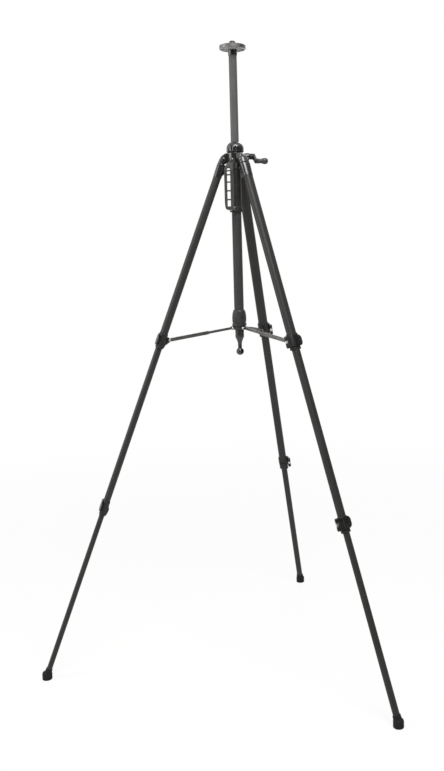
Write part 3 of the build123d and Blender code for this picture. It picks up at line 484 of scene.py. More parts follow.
# %% Finishes of the tubes and the metal
leg_paint = {
    leg: drawn_tube(
        f"grey_tube_{leg}", dark=(0.017, 0.0165, 0.0155), pale=(0.024, 0.0232, 0.022),
        roughness=(0.4, 0.5), specular=0.26, turned=leg_axes(azimuth).to_3x3(),
    )
    for leg, azimuth in LEG_AZIMUTHS.items()
}
sleeve_paint = drawn_tube(
    "sleeve_grey", dark=(0.03, 0.0292, 0.028), pale=(0.04, 0.039, 0.037),
    roughness=(0.38, 0.48), specular=0.2,
)
column_paint = drawn_tube(
    "column_grey", dark=(0.06, 0.0595, 0.058), pale=(0.075, 0.074, 0.072),
    roughness=(0.4, 0.5), specular=0.25,
)
brace_metal = plated(
    "brace_metal", dark=(0.12, 0.117, 0.11), pale=(0.17, 0.166, 0.157),
    roughness=(0.36, 0.5), grain=900.0,
)
bright_steel = plated(
    "bright_steel", dark=(0.5, 0.49, 0.475), pale=(0.62, 0.61, 0.59),
    roughness=(0.22, 0.34), grain=700.0,
)
dark_steel = plated(
    "dark_steel", dark=(0.16, 0.158, 0.154), pale=(0.24, 0.237, 0.23),
    roughness=(0.2, 0.34), grain=700.0,
)
# painted shade: a darker copy of the plate metal, laid on the plate's outer wall
plate_wall_painted_shade = plated(
    "plate_wall_painted_shade", dark=(0.15, 0.148, 0.144), pale=(0.21, 0.207, 0.2),
    roughness=(0.42, 0.56), grain=1300.0,
)
plate_metal = plated(
    "plate_metal", dark=(0.52, 0.515, 0.505), pale=(0.62, 0.612, 0.6),
    roughness=(0.34, 0.48), grain=1300.0, metallic=0.35,
)
print("materials so far", len(bpy.data.materials))

# %% [markdown]
# The mouldings are made as by hand. Round and oval ones start as a ring of edges that is extruded and
# scaled from station to station, like a lathe profile. Flat ones start as a filled outline that is
# extruded to its thickness. A Bevel modifier then breaks the edges, which is what catches the light.

# %% Modelling tools: selection and modifiers


def deselect():
    """Leave edit mode and clear the selection, because an operator acts on all that is selected."""
    if bpy.context.object is not None and bpy.context.object.mode != "OBJECT":
        bpy.ops.object.mode_set(mode="OBJECT")
    bpy.ops.object.select_all(action="DESELECT")


def choose(piece):
    """Make one piece the only selected and active object."""
    deselect()
    piece.select_set(True)
    bpy.context.view_layer.objects.active = piece


def apply_modifier(piece, kind, **values):
    """Add a modifier, set it up and apply it."""
    choose(piece)
    modifier = piece.modifiers.new(kind.lower(), kind)
    for name, value in values.items():
        setattr(modifier, name, value)
    bpy.ops.object.modifier_apply(modifier=modifier.name)
    return piece


def pick(test, mode="VERT"):
    """Select the vertices, edges or faces in edit mode whose middle, in millimetres, passes a test."""
    bpy.ops.mesh.select_mode(type=mode)
    bpy.ops.mesh.select_all(action="DESELECT")
    mesh = bpy.context.object.data
    shape = bmesh.from_edit_mesh(mesh)
    for element in {"VERT": shape.verts, "EDGE": shape.edges, "FACE": shape.faces}[mode]:
        corners = [element] if mode == "VERT" else element.verts
        middle = sum((corner.co for corner in corners), Vector()) / len(corners)
        if test(middle / MM):
            element.select_set(True)
    shape.select_flush_mode()
    bmesh.update_edit_mesh(mesh)


def combine(piece, other, operation="UNION"):
    """Weld another piece on, or cut it away, and remove it."""
    apply_modifier(piece, "BOOLEAN", operation=operation, object=other, solver="EXACT")
    bpy.data.objects.remove(other)
    return piece


def round_edges(piece, width, segments=2, angle=32.0):
    """Break the sharp edges with a small bevel."""
    limit = {"limit_method": "ANGLE", "angle_limit": radians(angle)}
    return apply_modifier(piece, "BEVEL", width=width * MM, segments=segments, **limit)


def moved(piece, matrix):
    """Put a piece at a place and apply it, so that the place is in its mesh."""
    choose(piece)
    piece.matrix_world = matrix
    bpy.ops.object.transform_apply(location=True, rotation=True, scale=True)
    return piece


def twin(piece, name):
    """Copy of a piece with its own mesh."""
    copy = piece.copy()
    copy.data = piece.data.copy()
    copy.name = name
    bpy.context.scene.collection.objects.link(copy)
    return copy


print("tools act in", bpy.context.mode)

# %% Modelling tools: turned and flat pieces


def close_shape(piece):
    """Fill open ends, turn all faces outwards and leave edit mode."""
    bpy.ops.mesh.select_mode(type="VERT")
    bpy.ops.mesh.select_all(action="SELECT")
    bpy.ops.mesh.fill_holes(sides=0)
    bpy.ops.mesh.normals_make_consistent(inside=False)
    bpy.ops.object.mode_set(mode="OBJECT")
    return piece


def turn(name, profile, count=64, hollow=False, slide=0.0):
    """Draw a ring along a profile of (radius, height) as a lathe would, and pull it apart into an oval."""
    radius, height = profile[0]
    half_step = pi / count if slide else 0.0
    deselect()
    bpy.ops.mesh.primitive_circle_add(
        vertices=count, radius=radius * MM, location=(0, 0, height * MM), rotation=(0, 0, half_step)
    )
    piece = bpy.context.object
    piece.name = name
    bpy.ops.object.transform_apply(location=True, rotation=True, scale=True)
    bpy.ops.object.mode_set(mode="EDIT")
    bpy.ops.mesh.select_all(action="SELECT")
    for next_radius, next_height in profile[1:]:
        rise = (0, 0, (next_height - height) * MM)
        bpy.ops.mesh.extrude_region_move(TRANSFORM_OT_translate={"value": rise})
        share = next_radius / radius
        bpy.ops.transform.resize(value=(share, share, 1), center_override=(0, 0, next_height * MM))
        radius, height = next_radius, next_height
    if hollow:
        bpy.ops.mesh.select_mode(type="EDGE")
        bpy.ops.mesh.select_all(action="DESELECT")
        bpy.ops.mesh.select_non_manifold()
        bpy.ops.mesh.bridge_edge_loops()
    if slide:
        for side in (1, -1):
            pick(lambda place: place.y * side > 0)
            bpy.ops.transform.translate(value=(0, side * slide * MM, 0))
    return close_shape(piece)


def slab(name, outline, thickness, middle=0.0):
    """Flat piece from an outline of (x, z) points, extruded across y."""
    deselect()
    bpy.ops.mesh.primitive_circle_add(vertices=len(outline), radius=0.01, fill_type="NGON")
    piece = bpy.context.object
    piece.name = name
    for vertex, (x, z) in zip(piece.data.vertices, outline):
        vertex.co = Vector((x, middle - thickness / 2, z)) * MM
    bpy.ops.object.mode_set(mode="EDIT")
    bpy.ops.mesh.select_all(action="SELECT")
    bpy.ops.mesh.extrude_region_move(TRANSFORM_OT_translate={"value": (0, thickness * MM, 0)})
    return close_shape(piece)


def oblong(x_low, z_low, x_high, z_high):
    """Outline of a rectangle."""
    return [(x_low, z_low), (x_high, z_low), (x_high, z_high), (x_low, z_high)]


def mirrored(upper):
    """Profile of a piece that is the same above and below its middle, from its upper half."""
    return [(radius, -height) for radius, height in reversed(upper)] + upper


def arc(centre_x, centre_z, radius, start, end, steps):
    """Points along an arc, angles in degrees."""
    angles = [radians(start + (end - start) * step / steps) for step in range(steps + 1)]
    return [(centre_x + radius * cos(a), centre_z + radius * sin(a)) for a in angles]


print("an arc of two steps:", arc(0, 0, 1, 0, 90, 2))

# %% [markdown]
# A finished piece is shaded smooth up to an angle, with its normals weighted by the size of the faces, so
# that large faces stay even beside their bevels. It stores where its edges stand out, for the rubbed
# edges, and then takes its finish, its body and the place of its solid.

# %% Dressing a piece


def mark_rims(piece):
    """Store how far each vertex stands out from its neighbours, for the rubbed edges."""
    shape = bmesh.new()
    shape.from_mesh(piece.data)
    rims = []
    for vertex in shape.verts:
        neighbours = [edge.other_vert(vertex).co for edge in vertex.link_edges]
        leans = [vertex.normal.dot((vertex.co - near).normalized()) for near in neighbours]
        rims.append(max(0.0, sum(leans) / max(1, len(leans))))
    shape.free()
    attribute = piece.data.attributes.new("rim", "FLOAT", "POINT")
    attribute.data.foreach_set("value", rims)


def dress(piece, body, finish, slot, *nodes, smooth=38.0):
    """Shade a placed piece, give it its finish and let it move with its body in place of its solids."""
    choose(piece)
    bpy.ops.object.shade_smooth_by_angle(angle=radians(smooth))
    apply_modifier(piece, "WEIGHTED_NORMAL", keep_sharp=True)
    mark_rims(piece)
    piece.data.materials.clear()
    piece.data.materials.append(finish)
    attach(piece, body)
    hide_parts(*nodes)
    print(piece.name, len(piece.data.polygons), "faces, on", body)
    return piece


# %% [markdown]
# A foot is a squat rubber barrel that stands flat, with a sleeve leaning into it for the leg. Barrel and
# sleeve are turned separately, welded, and remeshed finely so that the joint between them is soft, as
# rubber comes out of a mould. Two grip grooves run round the barrel and the sole is hollowed.

# %% Rubber feet
FOOT_REACH = 497.23
FOOT_AXIS_HEIGHT = 10.0
barrel = turn("foot", [
    (6.9, 1.0), (8.6, 1.0), (9.2, 0.0), (11.0, 0.0), (11.7, 0.5), (12.0, 1.4), (12.0, 3.0),
    (11.4, 3.6), (11.4, 4.5), (12.0, 5.1), (12.0, 7.4), (11.4, 8.0), (11.4, 8.9), (12.0, 9.5),
    (12.0, 13.6), (11.6, 15.6), (10.4, 17.5), (8.4, 18.7), (5.5, 19.0),
])
boot_sleeve = turn("boot_sleeve", [
    (8.4, 0.0), (8.1, 8.0), (7.8, 13.0), (7.9, 15.0), (7.5, 16.0), (6.9, 16.3),
], count=48, slide=2.1)
lean = shift(0, 0, FOOT_AXIS_HEIGHT) @ Matrix.Rotation(-LEG_TILT, 4, "Y")
combine(barrel, moved(boot_sleeve, lean))
apply_modifier(barrel, "REMESH", mode="VOXEL", voxel_size=0.42 * MM)
apply_modifier(barrel, "SMOOTH", factor=0.5, iterations=5)
apply_modifier(barrel, "DECIMATE", ratio=0.3)
for leg, azimuth in LEG_AZIMUTHS.items():
    foot = moved(twin(barrel, f"{leg}_rubber_foot"), upright(azimuth, FOOT_REACH))
    dress(foot, f"{leg}_lower_leg", foot_rubber, "foot_rubber", f"{leg}_foot", smooth=60.0)
bpy.data.objects.remove(barrel)

# %% [markdown]
# A flip lock joins two tubes. Its collar is a slim oval moulding, straight where it holds the tube above
# and tapered where it grips the tube below, with a split down its outer face. A boss on one side carries
# the lever's pin, a pad thickens the inner side, and on the upper locks a lug holds the brace. The oval
# is turned as a round first and then pulled apart.

# %% Flip-lock collars
PIN_X, BOSS_HALF, WEB_HALF = -1.0, 5.0, 3.9
LUG_INSET, LUG_ABOVE_CENTRE, LUG_RADIUS = 18.7, 7.0, 4.5
PAD_WIDTH, LUG_WIDTH, SLIT_WIDTH = 15.0, 4.0, 1.4
# along: from the hinge down the leg; half: of the height; outer and spread: radius and pull of the oval;
# above, below and slide: the bores and their pull; foot: radius at the foot; pin and rise: the lever's pin
Lock = namedtuple("Lock", "along half outer spread above below foot slide pin rise")
LOCKS = {
    "upper": Lock(471.0, 19.5, 10.4, 5.0, 9.6, 8.3, 9.2, 3.2, 20.65, 0.3),
    "lower": Lock(903.0, 18.5, 8.8, 4.4, 8.0, 6.6, 7.5, 2.9, 18.4, 3.3),
}


def make_collar(name, lock, with_lug):
    """Collar at the origin, its axis along z."""
    half, outer, foot = lock.half, lock.outer, lock.foot
    collar = turn(name, [
        (lock.above - 2.0, half - 0.4), (outer - 1.2, half), (outer - 0.5, half - 0.3),
        (outer - 0.1, half - 1.2), (outer, half - 2.4), (outer, 1.0), (outer - 0.2, -3.0),
        (outer - 0.7, -7.0), (foot + 0.2, 4.0 - half), (foot + 0.6, 2.8 - half),
        (foot + 0.5, 0.8 - half), (foot, -half), (lock.below - 2.0, -half),
    ], slide=lock.spread)
    round_edges(collar, 0.35)
    pad_outline = [
        (2.5 - outer, 3.0), (-outer - 2.2, 2.0), (-outer - 2.6, -2.0), (-outer - 2.0, -8.0),
        (-outer - 0.8, -14.0), (0.6 - outer, 0.6 - half), (2.5 - outer, 0.6 - half),
    ]
    combine(collar, round_edges(slab("pad", pad_outline, PAD_WIDTH), 1.3, segments=3))
    web_depth = lock.pin - lock.slide - 2.0
    web_outline = oblong(PIN_X - WEB_HALF, -BOSS_HALF, PIN_X + WEB_HALF, BOSS_HALF)
    web = round_edges(slab("web", web_outline, web_depth, -lock.pin + web_depth / 2), 0.4)
    combine(collar, moved(web, shift(0, 0, lock.rise)))
    boss_profile = mirrored([(4.0, BOSS_HALF - 0.4), (3.6, BOSS_HALF), (2.1, BOSS_HALF)])
    boss = turn("boss", boss_profile, count=40)
    combine(collar, moved(boss, shift(PIN_X, -lock.pin, lock.rise)))
    if with_lug:
        lug_outline = [(2.0 - outer, 13.0), (1.5 - LUG_INSET, LUG_ABOVE_CENTRE + 4.4)]
        lug_outline += arc(-LUG_INSET, LUG_ABOVE_CENTRE, LUG_RADIUS, 110, 215, 10)
        lug_outline += [(2.0 - outer, -16.0)]
        combine(collar, round_edges(slab("lug", lug_outline, LUG_WIDTH), 0.6))
    core = turn("core", [
        (lock.below, -half - 1.0), (lock.below, 0.0), (lock.above, 0.0), (lock.above, half + 1.0),
    ], slide=lock.slide)
    combine(collar, core, "DIFFERENCE")
    slit = slab("slit", oblong(4.0, -half - 1.0, outer + 4.0, 0.0), SLIT_WIDTH)
    combine(collar, slit, "DIFFERENCE")
    return collar


for level, lock in LOCKS.items():
    pattern = make_collar("collar", lock, level == "upper")
    for leg, azimuth in LEG_AZIMUTHS.items():
        body = f"{leg}_upper_leg" if level == "upper" else f"{leg}_middle_leg"
        collar = moved(twin(pattern, f"{leg}_{level}_lock_collar"), leg_axes(azimuth, lock.along))
        dress(collar, body, black_matte, "black_matte", f"{leg}_{level}_collar")
    bpy.data.objects.remove(pattern)

# %% [markdown]
# The lever is a thin shell that bends from its pin round the collar's corner, lies across the outer face
# and runs on past the far corner to a round free end, where the thumb gets behind it. Its upper and lower
# edges turn in a little. A grid gives its columns: each is laid on a smooth course and made as tall as
# the round end allows. Solidify gives the wall and a bevel its soft edges. Two knuckles then take the
# pin, one above and one below the collar's boss.

# %% Flip levers
LEVER_HEIGHT, LEVER_WALL, LEVER_GAP = 27.0, 2.4, 0.4
LEVER_COLUMNS, LEVER_ROWS = 37, 11
LEVER_PROUD = 0.3
LEVER_END, LEVER_END_POWER = 0.97, 2.4
# where the lower and the upper edge start to turn in, as a share of the half height, and how far they go
LOWER_CURL, UPPER_CURL = (0.2, 1.1), (0.3, 0.7)
KNUCKLE_RISE = 9.7
KNUCKLE_GAP_HALF, KNUCKLE_GAP_WIDTH = 5.4, 14.0
# the lever's course from heel to toe: outward share of its stand-off, sideways share of pin or free side
LEVER_COURSE = [
    (-0.16, -0.93), (0.08, -0.92), (0.34, -0.87), (0.58, -0.78), (0.80, -0.64), (0.94, -0.45), (1.0, -0.22),
    (1.015, 0.05), (1.01, 0.36), (0.98, 0.62), (0.93, 0.84), (0.87, 1.02), (0.80, 1.18),
]


def along_course(points, share):
    """Point at a share of a smooth course through some points."""
    where = share * (len(points) - 1)
    first = min(int(where), len(points) - 2)
    t = where - first
    before, start = points[max(first - 1, 0)], points[first]
    end, after = points[first + 1], points[min(first + 2, len(points) - 1)]
    return [
        start[k] + t / 2 * (end[k] - before[k] + t * (2 * before[k] - 5 * start[k] + 4 * end[k] - after[k]
                            + t * (3 * (start[k] - end[k]) + after[k] - before[k])))
        for k in (0, 1)
    ]


def curl(rise, start, depth):
    """How far an edge turns in: nothing up to a start, and its depth at the edge."""
    return depth * (max(0.0, rise - start) / (1 - start)) ** 2


def lever_shell(name, lock):
    """Thin sheet of the lever, laid column by column on its course."""
    flat = lock.outer + LEVER_GAP + LEVER_WALL / 2
    free_side = lock.outer + lock.spread
    half_lever = LEVER_HEIGHT / 2
    end_centre = LEVER_COURSE[-1][1] * free_side - LEVER_END * half_lever
    deselect()
    bpy.ops.mesh.primitive_grid_add(
        x_subdivisions=LEVER_ROWS - 1, y_subdivisions=LEVER_COLUMNS - 1, size=0.1
    )
    lever = bpy.context.object
    lever.name = name
    for column in range(LEVER_COLUMNS):
        out, across = along_course(LEVER_COURSE, column / (LEVER_COLUMNS - 1))
        across *= lock.pin if across < 0 else free_side
        past_end = min(max(0.0, across - end_centre) / half_lever, LEVER_END)
        half_height = half_lever * (1 - past_end**LEVER_END_POWER) ** (1 / LEVER_END_POWER)
        from_pin = min(1.0, max(0.0, (across + lock.pin) / lock.pin))
        for row in range(LEVER_ROWS):
            level = half_height * (2 * row / (LEVER_ROWS - 1) - 1)
            rise = level / half_lever
            turned_in = (curl(-rise, *LOWER_CURL) + curl(rise, *UPPER_CURL)) * from_pin
            place = Vector((out * flat + LEVER_PROUD - turned_in, across, level + lock.rise))
            lever.data.vertices[column * LEVER_ROWS + row].co = place * MM
    return lever


def make_lever(name, lock):
    """Lever at the collar's middle, its pin along z."""
    lever = lever_shell(name, lock)
    apply_modifier(lever, "SOLIDIFY", thickness=LEVER_WALL * MM, offset=0.0)
    round_edges(lever, 0.8, segments=3, angle=50.0)
    for side in (1, -1):
        knuckle = turn("knuckle", [
            (2.06, -4.3), (3.7, -4.3), (4.2, -3.8), (4.2, 1.6), (4.0, 3.0), (3.4, 4.2), (2.6, 4.8),
            (2.06, 4.9),
        ], count=40)
        place = shift(PIN_X, -lock.pin, lock.rise + side * KNUCKLE_RISE)
        if side < 0:
            place = place @ Matrix.Rotation(pi, 4, "X")
        combine(lever, moved(knuckle, place))
    gap_outline = oblong(PIN_X - 9.0, -KNUCKLE_GAP_HALF, PIN_X + 4.8, KNUCKLE_GAP_HALF)
    gap = slab("gap", gap_outline, KNUCKLE_GAP_WIDTH, 3.0 - lock.pin)
    combine(lever, moved(gap, shift(0, 0, lock.rise)), "DIFFERENCE")
    return lever


for level, lock in LOCKS.items():
    pattern = make_lever("lever", lock)
    for leg, azimuth in LEG_AZIMUTHS.items():
        lever = moved(twin(pattern, f"{leg}_{level}_flip_lever"), leg_axes(azimuth, lock.along))
        dress(lever, f"{leg}_{level}_lever", lever_grey, "lever_grey", f"{leg}_{level}_lever", smooth=50.0)
    bpy.data.objects.remove(pattern)

# %% [markdown]
# Pins and rivets are small, but their bright domed heads are what shows that the joints are real. A
# rivet is turned along its axis with a low dome at each end, then laid across the joint. A lever's pin
# stands along the leg and carries a steel bush round the collar's boss, which takes the lever's pull.

# %% Pins and rivets
ACROSS = Matrix.Rotation(-pi / 2, 4, "X")
DOME_SHARES = ((1.0, 0.0), (0.94, 0.45), (0.68, 0.82), (0.25, 1.0))
BUSH_PROFILE = [(4.25, 2.2), (4.25, 2.8), (3.9, 3.2), (2.0, 3.2)]


def rivet(name, shank, head, grip, dome, middle=()):
    """Rivet along z with a domed head at each end; grip is half the length between the heads."""
    domed = [(head * across, grip + dome * rise) for across, rise in DOME_SHARES]
    return turn(name, mirrored([*middle, (shank, grip), *domed]), count=32)


for leg, azimuth in LEG_AZIMUTHS.items():
    for level, lock in LOCKS.items():
        lock_place = leg_axes(azimuth, lock.along)
        pin = rivet(
            f"{leg}_{level}_lever_pin",
            shank=2.0, head=2.6, grip=LEVER_HEIGHT / 2, dome=0.6, middle=BUSH_PROFILE,
        )
        moved(pin, lock_place @ shift(PIN_X, -lock.pin, lock.rise))
        if level == "lower":
            dress(pin, f"{leg}_middle_leg", bright_steel, "steel", f"{leg}_lower_pin")
            continue
        brace_rivet = rivet(f"{leg}_brace_rivet", shank=2.0, head=3.5, grip=3.85, dome=1.2)
        moved(brace_rivet, lock_place @ shift(-LUG_INSET, 0, LUG_ABOVE_CENTRE) @ ACROSS)
        dress(pin, f"{leg}_upper_leg", bright_steel, "steel", f"{leg}_upper_pins")
        dress(brace_rivet, f"{leg}_upper_leg", bright_steel, "steel", f"{leg}_upper_pins")

# %% [markdown]
# At the top of each leg a glossy moulded socket holds the tube. Its tongue goes up into the crown's hood
# and turns on the hinge bolt, and a rib stiffens its inner side. The socket is an oval cup that widens a
# little upwards; tongue and rib are rounded bars welded to it.

# %% Hinge sockets
SOCKET_SPREAD = 3.2
TONGUE_RADIUS, TONGUE_WIDTH = 6.2, 15.8
RIB_WIDTH = 14.0
socket = turn("hinge_socket", [
    (9.5, -28.0), (9.5, -46.0), (9.9, -46.0), (10.1, -45.6), (10.2, -44.4), (10.75, -22.0), (10.8, -14.0),
    (10.65, -12.2), (10.2, -11.4), (9.4, -11.1), (6.0, -11.1),
], slide=SOCKET_SPREAD)
round_edges(socket, 0.3)
tongue_outline = arc(0, 0, TONGUE_RADIUS, 0, 180, 24)
tongue_outline += [(-TONGUE_RADIUS, -16.0), (TONGUE_RADIUS, -16.0)]
combine(socket, round_edges(slab("tongue", tongue_outline, TONGUE_WIDTH), 0.9, segments=3))
rib_outline = [
    (-8.5, -12.4), (-11.2, -13.4), (-13.4, -17.2), (-15.8, -22.0), (-16.0, -26.0), (-15.0, -29.6),
    (-12.4, -34.4), (-9.6, -39.0), (-8.5, -39.0),
]
combine(socket, round_edges(slab("rib", rib_outline, RIB_WIDTH), 1.6, segments=3))
for leg, azimuth in LEG_AZIMUTHS.items():
    hinge = moved(twin(socket, f"{leg}_leg_socket"), leg_axes(azimuth))
    dress(hinge, f"{leg}_upper_leg", black_gloss, "black_gloss", f"{leg}_hinge_socket")
bpy.data.objects.remove(socket)

# %% [markdown]
# The crown is one casting: a round body that tapers below, three hinge shoulders, and a gear housing that
# sticks out beside the column for the crank. Each shoulder ends in an oval hood that leans like its leg
# and meets the socket in a fine seam; inside, it is hollowed for the tongue.

# %% Crown casting
CRANK_AZIMUTH = 30.0
SHAFT_OFFSET, SHAFT_HEIGHT = 13.65, 1268.0
SHOULDER_WIDTH, SHOULDER_SLOT = 22.0, 16.4
COLUMN_BORE = 10.5
HINGE_PLACE = shift(HINGE_RADIUS, 0, HINGE_HEIGHT)
SHOULDER_OUTLINE = [
    (13.4, 1274.6), (13.4, 1248.0), (30.0, 1248.0), (35.0, 1254.0), (34.6, 1261.0), (32.4, 1267.2),
    (29.6, 1271.4), (26.8, 1273.6), (24.0, 1274.8),
]
HOOD_PROFILE = [
    (0.8, 15.2), (3.0, 14.4), (5.2, 12.2), (7.0, 9.2), (8.3, 5.8), (9.1, 2.0), (9.6, -3.0), (10.1, -8.4),
    (10.1, -9.6), (9.6, -10.4), (6.0, -10.4),
]
HINGE_BOSS_PROFILE = mirrored([(5.6, 12.4), (5.0, 13.0)])
BELOW_OUTLINE, BELOW_WIDTH = oblong(10.0, 1228.0, 33.6, 1248.4), 40.0
SLOT_OUTLINE = arc(HINGE_RADIUS, HINGE_HEIGHT, 6.7, 20.5, 180, 16) + [(24.3, 1226.0), (49.8, 1226.0)]


def shaft_axes(along=0.0):
    """Axes of the crank shaft: z out along it, y up."""
    out, aside = outward(CRANK_AZIMUTH), outward(CRANK_AZIMUTH + 90)
    origin = aside * SHAFT_OFFSET + out * along + UP * (SHAFT_HEIGHT - STAND_HEIGHT)
    return axes(origin, aside, UP, out)


def make_shoulder(azimuth):
    """Hinge shoulder with its hood, hollowed for the socket's tongue, at the azimuth of a leg."""
    shoulder = slab("shoulder", SHOULDER_OUTLINE, SHOULDER_WIDTH)
    round_edges(shoulder, 2.5, segments=4, angle=40.0)
    hood = turn("hood", HOOD_PROFILE, slide=SOCKET_SPREAD)
    combine(shoulder, moved(hood, upright(azimuth).inverted() @ leg_axes(azimuth)))
    hinge_boss = turn("hinge_boss", HINGE_BOSS_PROFILE, count=40)
    combine(shoulder, moved(hinge_boss, HINGE_PLACE @ ACROSS))
    combine(shoulder, slab("below", BELOW_OUTLINE, BELOW_WIDTH), "DIFFERENCE")
    combine(shoulder, slab("slot", SLOT_OUTLINE, SHOULDER_SLOT), "DIFFERENCE")
    return moved(shoulder, upright(azimuth))


crown = turn("crown_casting", [
    (COLUMN_BORE, 1292.0), (15.4, 1292.0), (16.0, 1291.4), (16.0, 1275.0), (20.0, 1275.0), (20.8, 1274.6),
    (21.0, 1273.8), (21.0, 1250.5), (20.4, 1248.4), (15.2, 1237.4), (14.4, 1236.0), (12.1, 1236.0),
    (12.1, 1251.0), (COLUMN_BORE, 1251.0),
], count=96, hollow=True)
round_edges(crown, 0.4)
moved(crown, upright())
for azimuth in LEG_AZIMUTHS.values():
    combine(crown, make_shoulder(azimuth))
housing = turn("housing", [
    (6.7, 38.0), (8.6, 38.0), (9.3, 37.2), (9.5, 36.0), (9.5, 33.5), (8.9, 32.9), (8.9, 31.9), (9.5, 31.3),
    (9.5, -7.0), (8.0, -9.0), (5.0, -9.4), (2.6, -9.4), (2.6, 8.0), (6.7, 9.0),
], hollow=True)
combine(crown, moved(housing, shaft_axes()))
trim = turn("trim", [(22.5, 1275.3), (22.5, 1281.0)], count=96)
trim_core = turn("trim_core", [(16.3, 1274.0), (16.3, 1282.0)], count=96)
combine(trim, trim_core, "DIFFERENCE")
combine(crown, moved(trim, upright()), "DIFFERENCE")
bore = turn("bore", [(COLUMN_BORE, 1230.0), (COLUMN_BORE, 1296.0)], count=96)
combine(crown, moved(bore, upright()), "DIFFERENCE")
dress(crown, "crown", black_gloss, "black_gloss", "crown")
for leg, azimuth in LEG_AZIMUTHS.items():
    bolt = rivet(f"{leg}_hinge_bolt", shank=2.5, head=4.2, grip=13.0, dome=1.0)
    moved(bolt, upright(azimuth) @ HINGE_PLACE @ ACROSS)
    dress(bolt, "crown", black_gloss, "steel", "leg_hinge_pins")

# %% [markdown]
# Under the crown a guide tube steadies the column, with a band at its foot. The clamp ring above is what
# the hand turns to lock the column: a domed ring with sixteen flutes for the fingers. The flutes are
# pressed in ring by ring, by scaling in only those vertices that a round cutter would reach.

# %% Guide and clamp ring
RING_FLUTES, RING_POINTS = 16, 160
RING_CUTTER_PLACE, RING_CUTTER_RADIUS = 22.8, 2.6
SAME_HEIGHT = 0.05
guide = turn("column_guide_tube", [
    (12.1, 1236.0), (13.8, 1236.0), (13.8, 1229.0), (14.1, 1228.4), (14.1, 1226.2), (13.8, 1225.6),
    (13.8, 1143.0), (14.4, 1141.8), (15.8, 1141.4), (16.4, 1140.6), (16.4, 1138.2), (15.9, 1137.6),
    (15.9, 1136.6), (16.4, 1136.0), (16.4, 1129.6), (15.6, 1128.4), (12.1, 1128.4),
], count=72, hollow=True)
round_edges(guide, 0.3)
dress(moved(guide, upright()), "crown", black_matte, "black_matte", "column_guide")


def press_flutes(piece, rings, flutes, count, place_cutter, cutter_radius):
    """Scale in the vertices of some rings that lie inside round cutters, placed by each ring's radius."""
    choose(piece)
    bpy.ops.object.mode_set(mode="EDIT")
    per_flute = count // flutes
    for radius, height in rings:
        cutter_place = place_cutter(radius)
        for offset in range(per_flute // 2):
            across = cutter_place * sin(2 * pi * offset / count)
            if across >= cutter_radius:
                continue
            reach = cutter_place * cos(2 * pi * offset / count) - sqrt(cutter_radius**2 - across**2)
            if reach >= radius:
                continue

            def in_flute(place):
                step = round(atan2(place.y, place.x) / (2 * pi) * count) % per_flute
                near = abs(place.z - height) < SAME_HEIGHT and place.xy.length > reach
                return near and min(step, per_flute - step) == offset

            pick(in_flute)
            share = reach / radius
            bpy.ops.transform.resize(value=(share, share, 1), center_override=(0, 0, height * MM))
    bpy.ops.object.mode_set(mode="OBJECT")


dome = arc(3.55, 1285.5, 17.95, 0, 59.7, 9)
ring_rings = [(21.5, 1279.6), (21.5, 1280.6), (21.5, 1283.0), *dome[:4]]
ring = turn("clamp_ring", [
    (16.4, 1275.6), (18.6, 1275.6), (19.4, 1275.9), (20.9, 1277.6), (21.4, 1278.4), (21.5, 1279.2),
    *ring_rings, *dome[4:],
    (11.4, 1301.2), (10.6, 1300.6), (10.6, 1296.4), (13.5, 1296.4), (16.4, 1292.6),
], count=RING_POINTS, hollow=True)
press_flutes(
    ring, ring_rings, RING_FLUTES, RING_POINTS,
    lambda radius: RING_CUTTER_PLACE, RING_CUTTER_RADIUS,
)
dress(moved(ring, upright()), "lock_ring", black_gloss, "black_gloss", "column_lock_ring")

# %% [markdown]
# The spreader's slider runs on the fixed tube. It is a fluted barrel that narrows upwards over a smooth
# ring, with three clevises below that hold the braces. The clevis cheeks are flat bars welded on, and a
# slot is cut between each pair so that the brace can swing.

# %% Spreader slider
SPREADER_RADIUS, SPREADER_HEIGHT = 18.0, 839.0
SLIDER_FLUTES, SLIDER_POINTS = 24, 192
SLIDER_CUTTER_OUT, SLIDER_CUTTER_RADIUS = 1.1, 1.5
CHEEK_RADIUS, CHEEK_WIDTH, CHEEK_OFFSET = 4.5, 3.0, 3.8
BRACE_SLOT = 4.6
slider_rings = [
    (17.3, 854.0), (17.5, 856.0), (17.75, 860.0), (17.75, 865.0), (17.4, 869.5), (16.9, 873.5),
    (16.3, 876.8),
]
slider = turn("spreader_slider", [
    (12.35, 835.0), (13.9, 835.0), (14.4, 835.6), (14.4, 843.0), (17.4, 843.9), (18.0, 844.7),
    (18.0, 849.3), (17.4, 850.1), (16.4, 850.5), (16.4, 851.9), (16.9, 852.4), (17.2, 853.2),
    *slider_rings,
    (15.6, 879.8), (14.8, 882.2), (14.0, 883.6), (13.2, 884.0), (12.35, 884.0),
], count=SLIDER_POINTS, hollow=True)
press_flutes(
    slider, slider_rings, SLIDER_FLUTES, SLIDER_POINTS,
    lambda radius: radius + SLIDER_CUTTER_OUT, SLIDER_CUTTER_RADIUS,
)
moved(slider, upright())
cheek_outline = arc(SPREADER_RADIUS, SPREADER_HEIGHT, CHEEK_RADIUS, -90, 90, 14)
cheek_outline += [(13.2, 843.5), (13.2, 835.4), (15.0, 834.6)]
for azimuth in LEG_AZIMUTHS.values():
    for side in (1, -1):
        cheek = round_edges(slab("cheek", cheek_outline, CHEEK_WIDTH, side * CHEEK_OFFSET), 0.5)
        combine(slider, moved(cheek, upright(azimuth)))
    slot = slab("slot", oblong(13.6, 829.0, 29.0, 844.0), BRACE_SLOT)
    combine(slider, moved(slot, upright(azimuth)), "DIFFERENCE")
dress(slider, "hub", hub_grey, "black_matte", "spreader_hub")
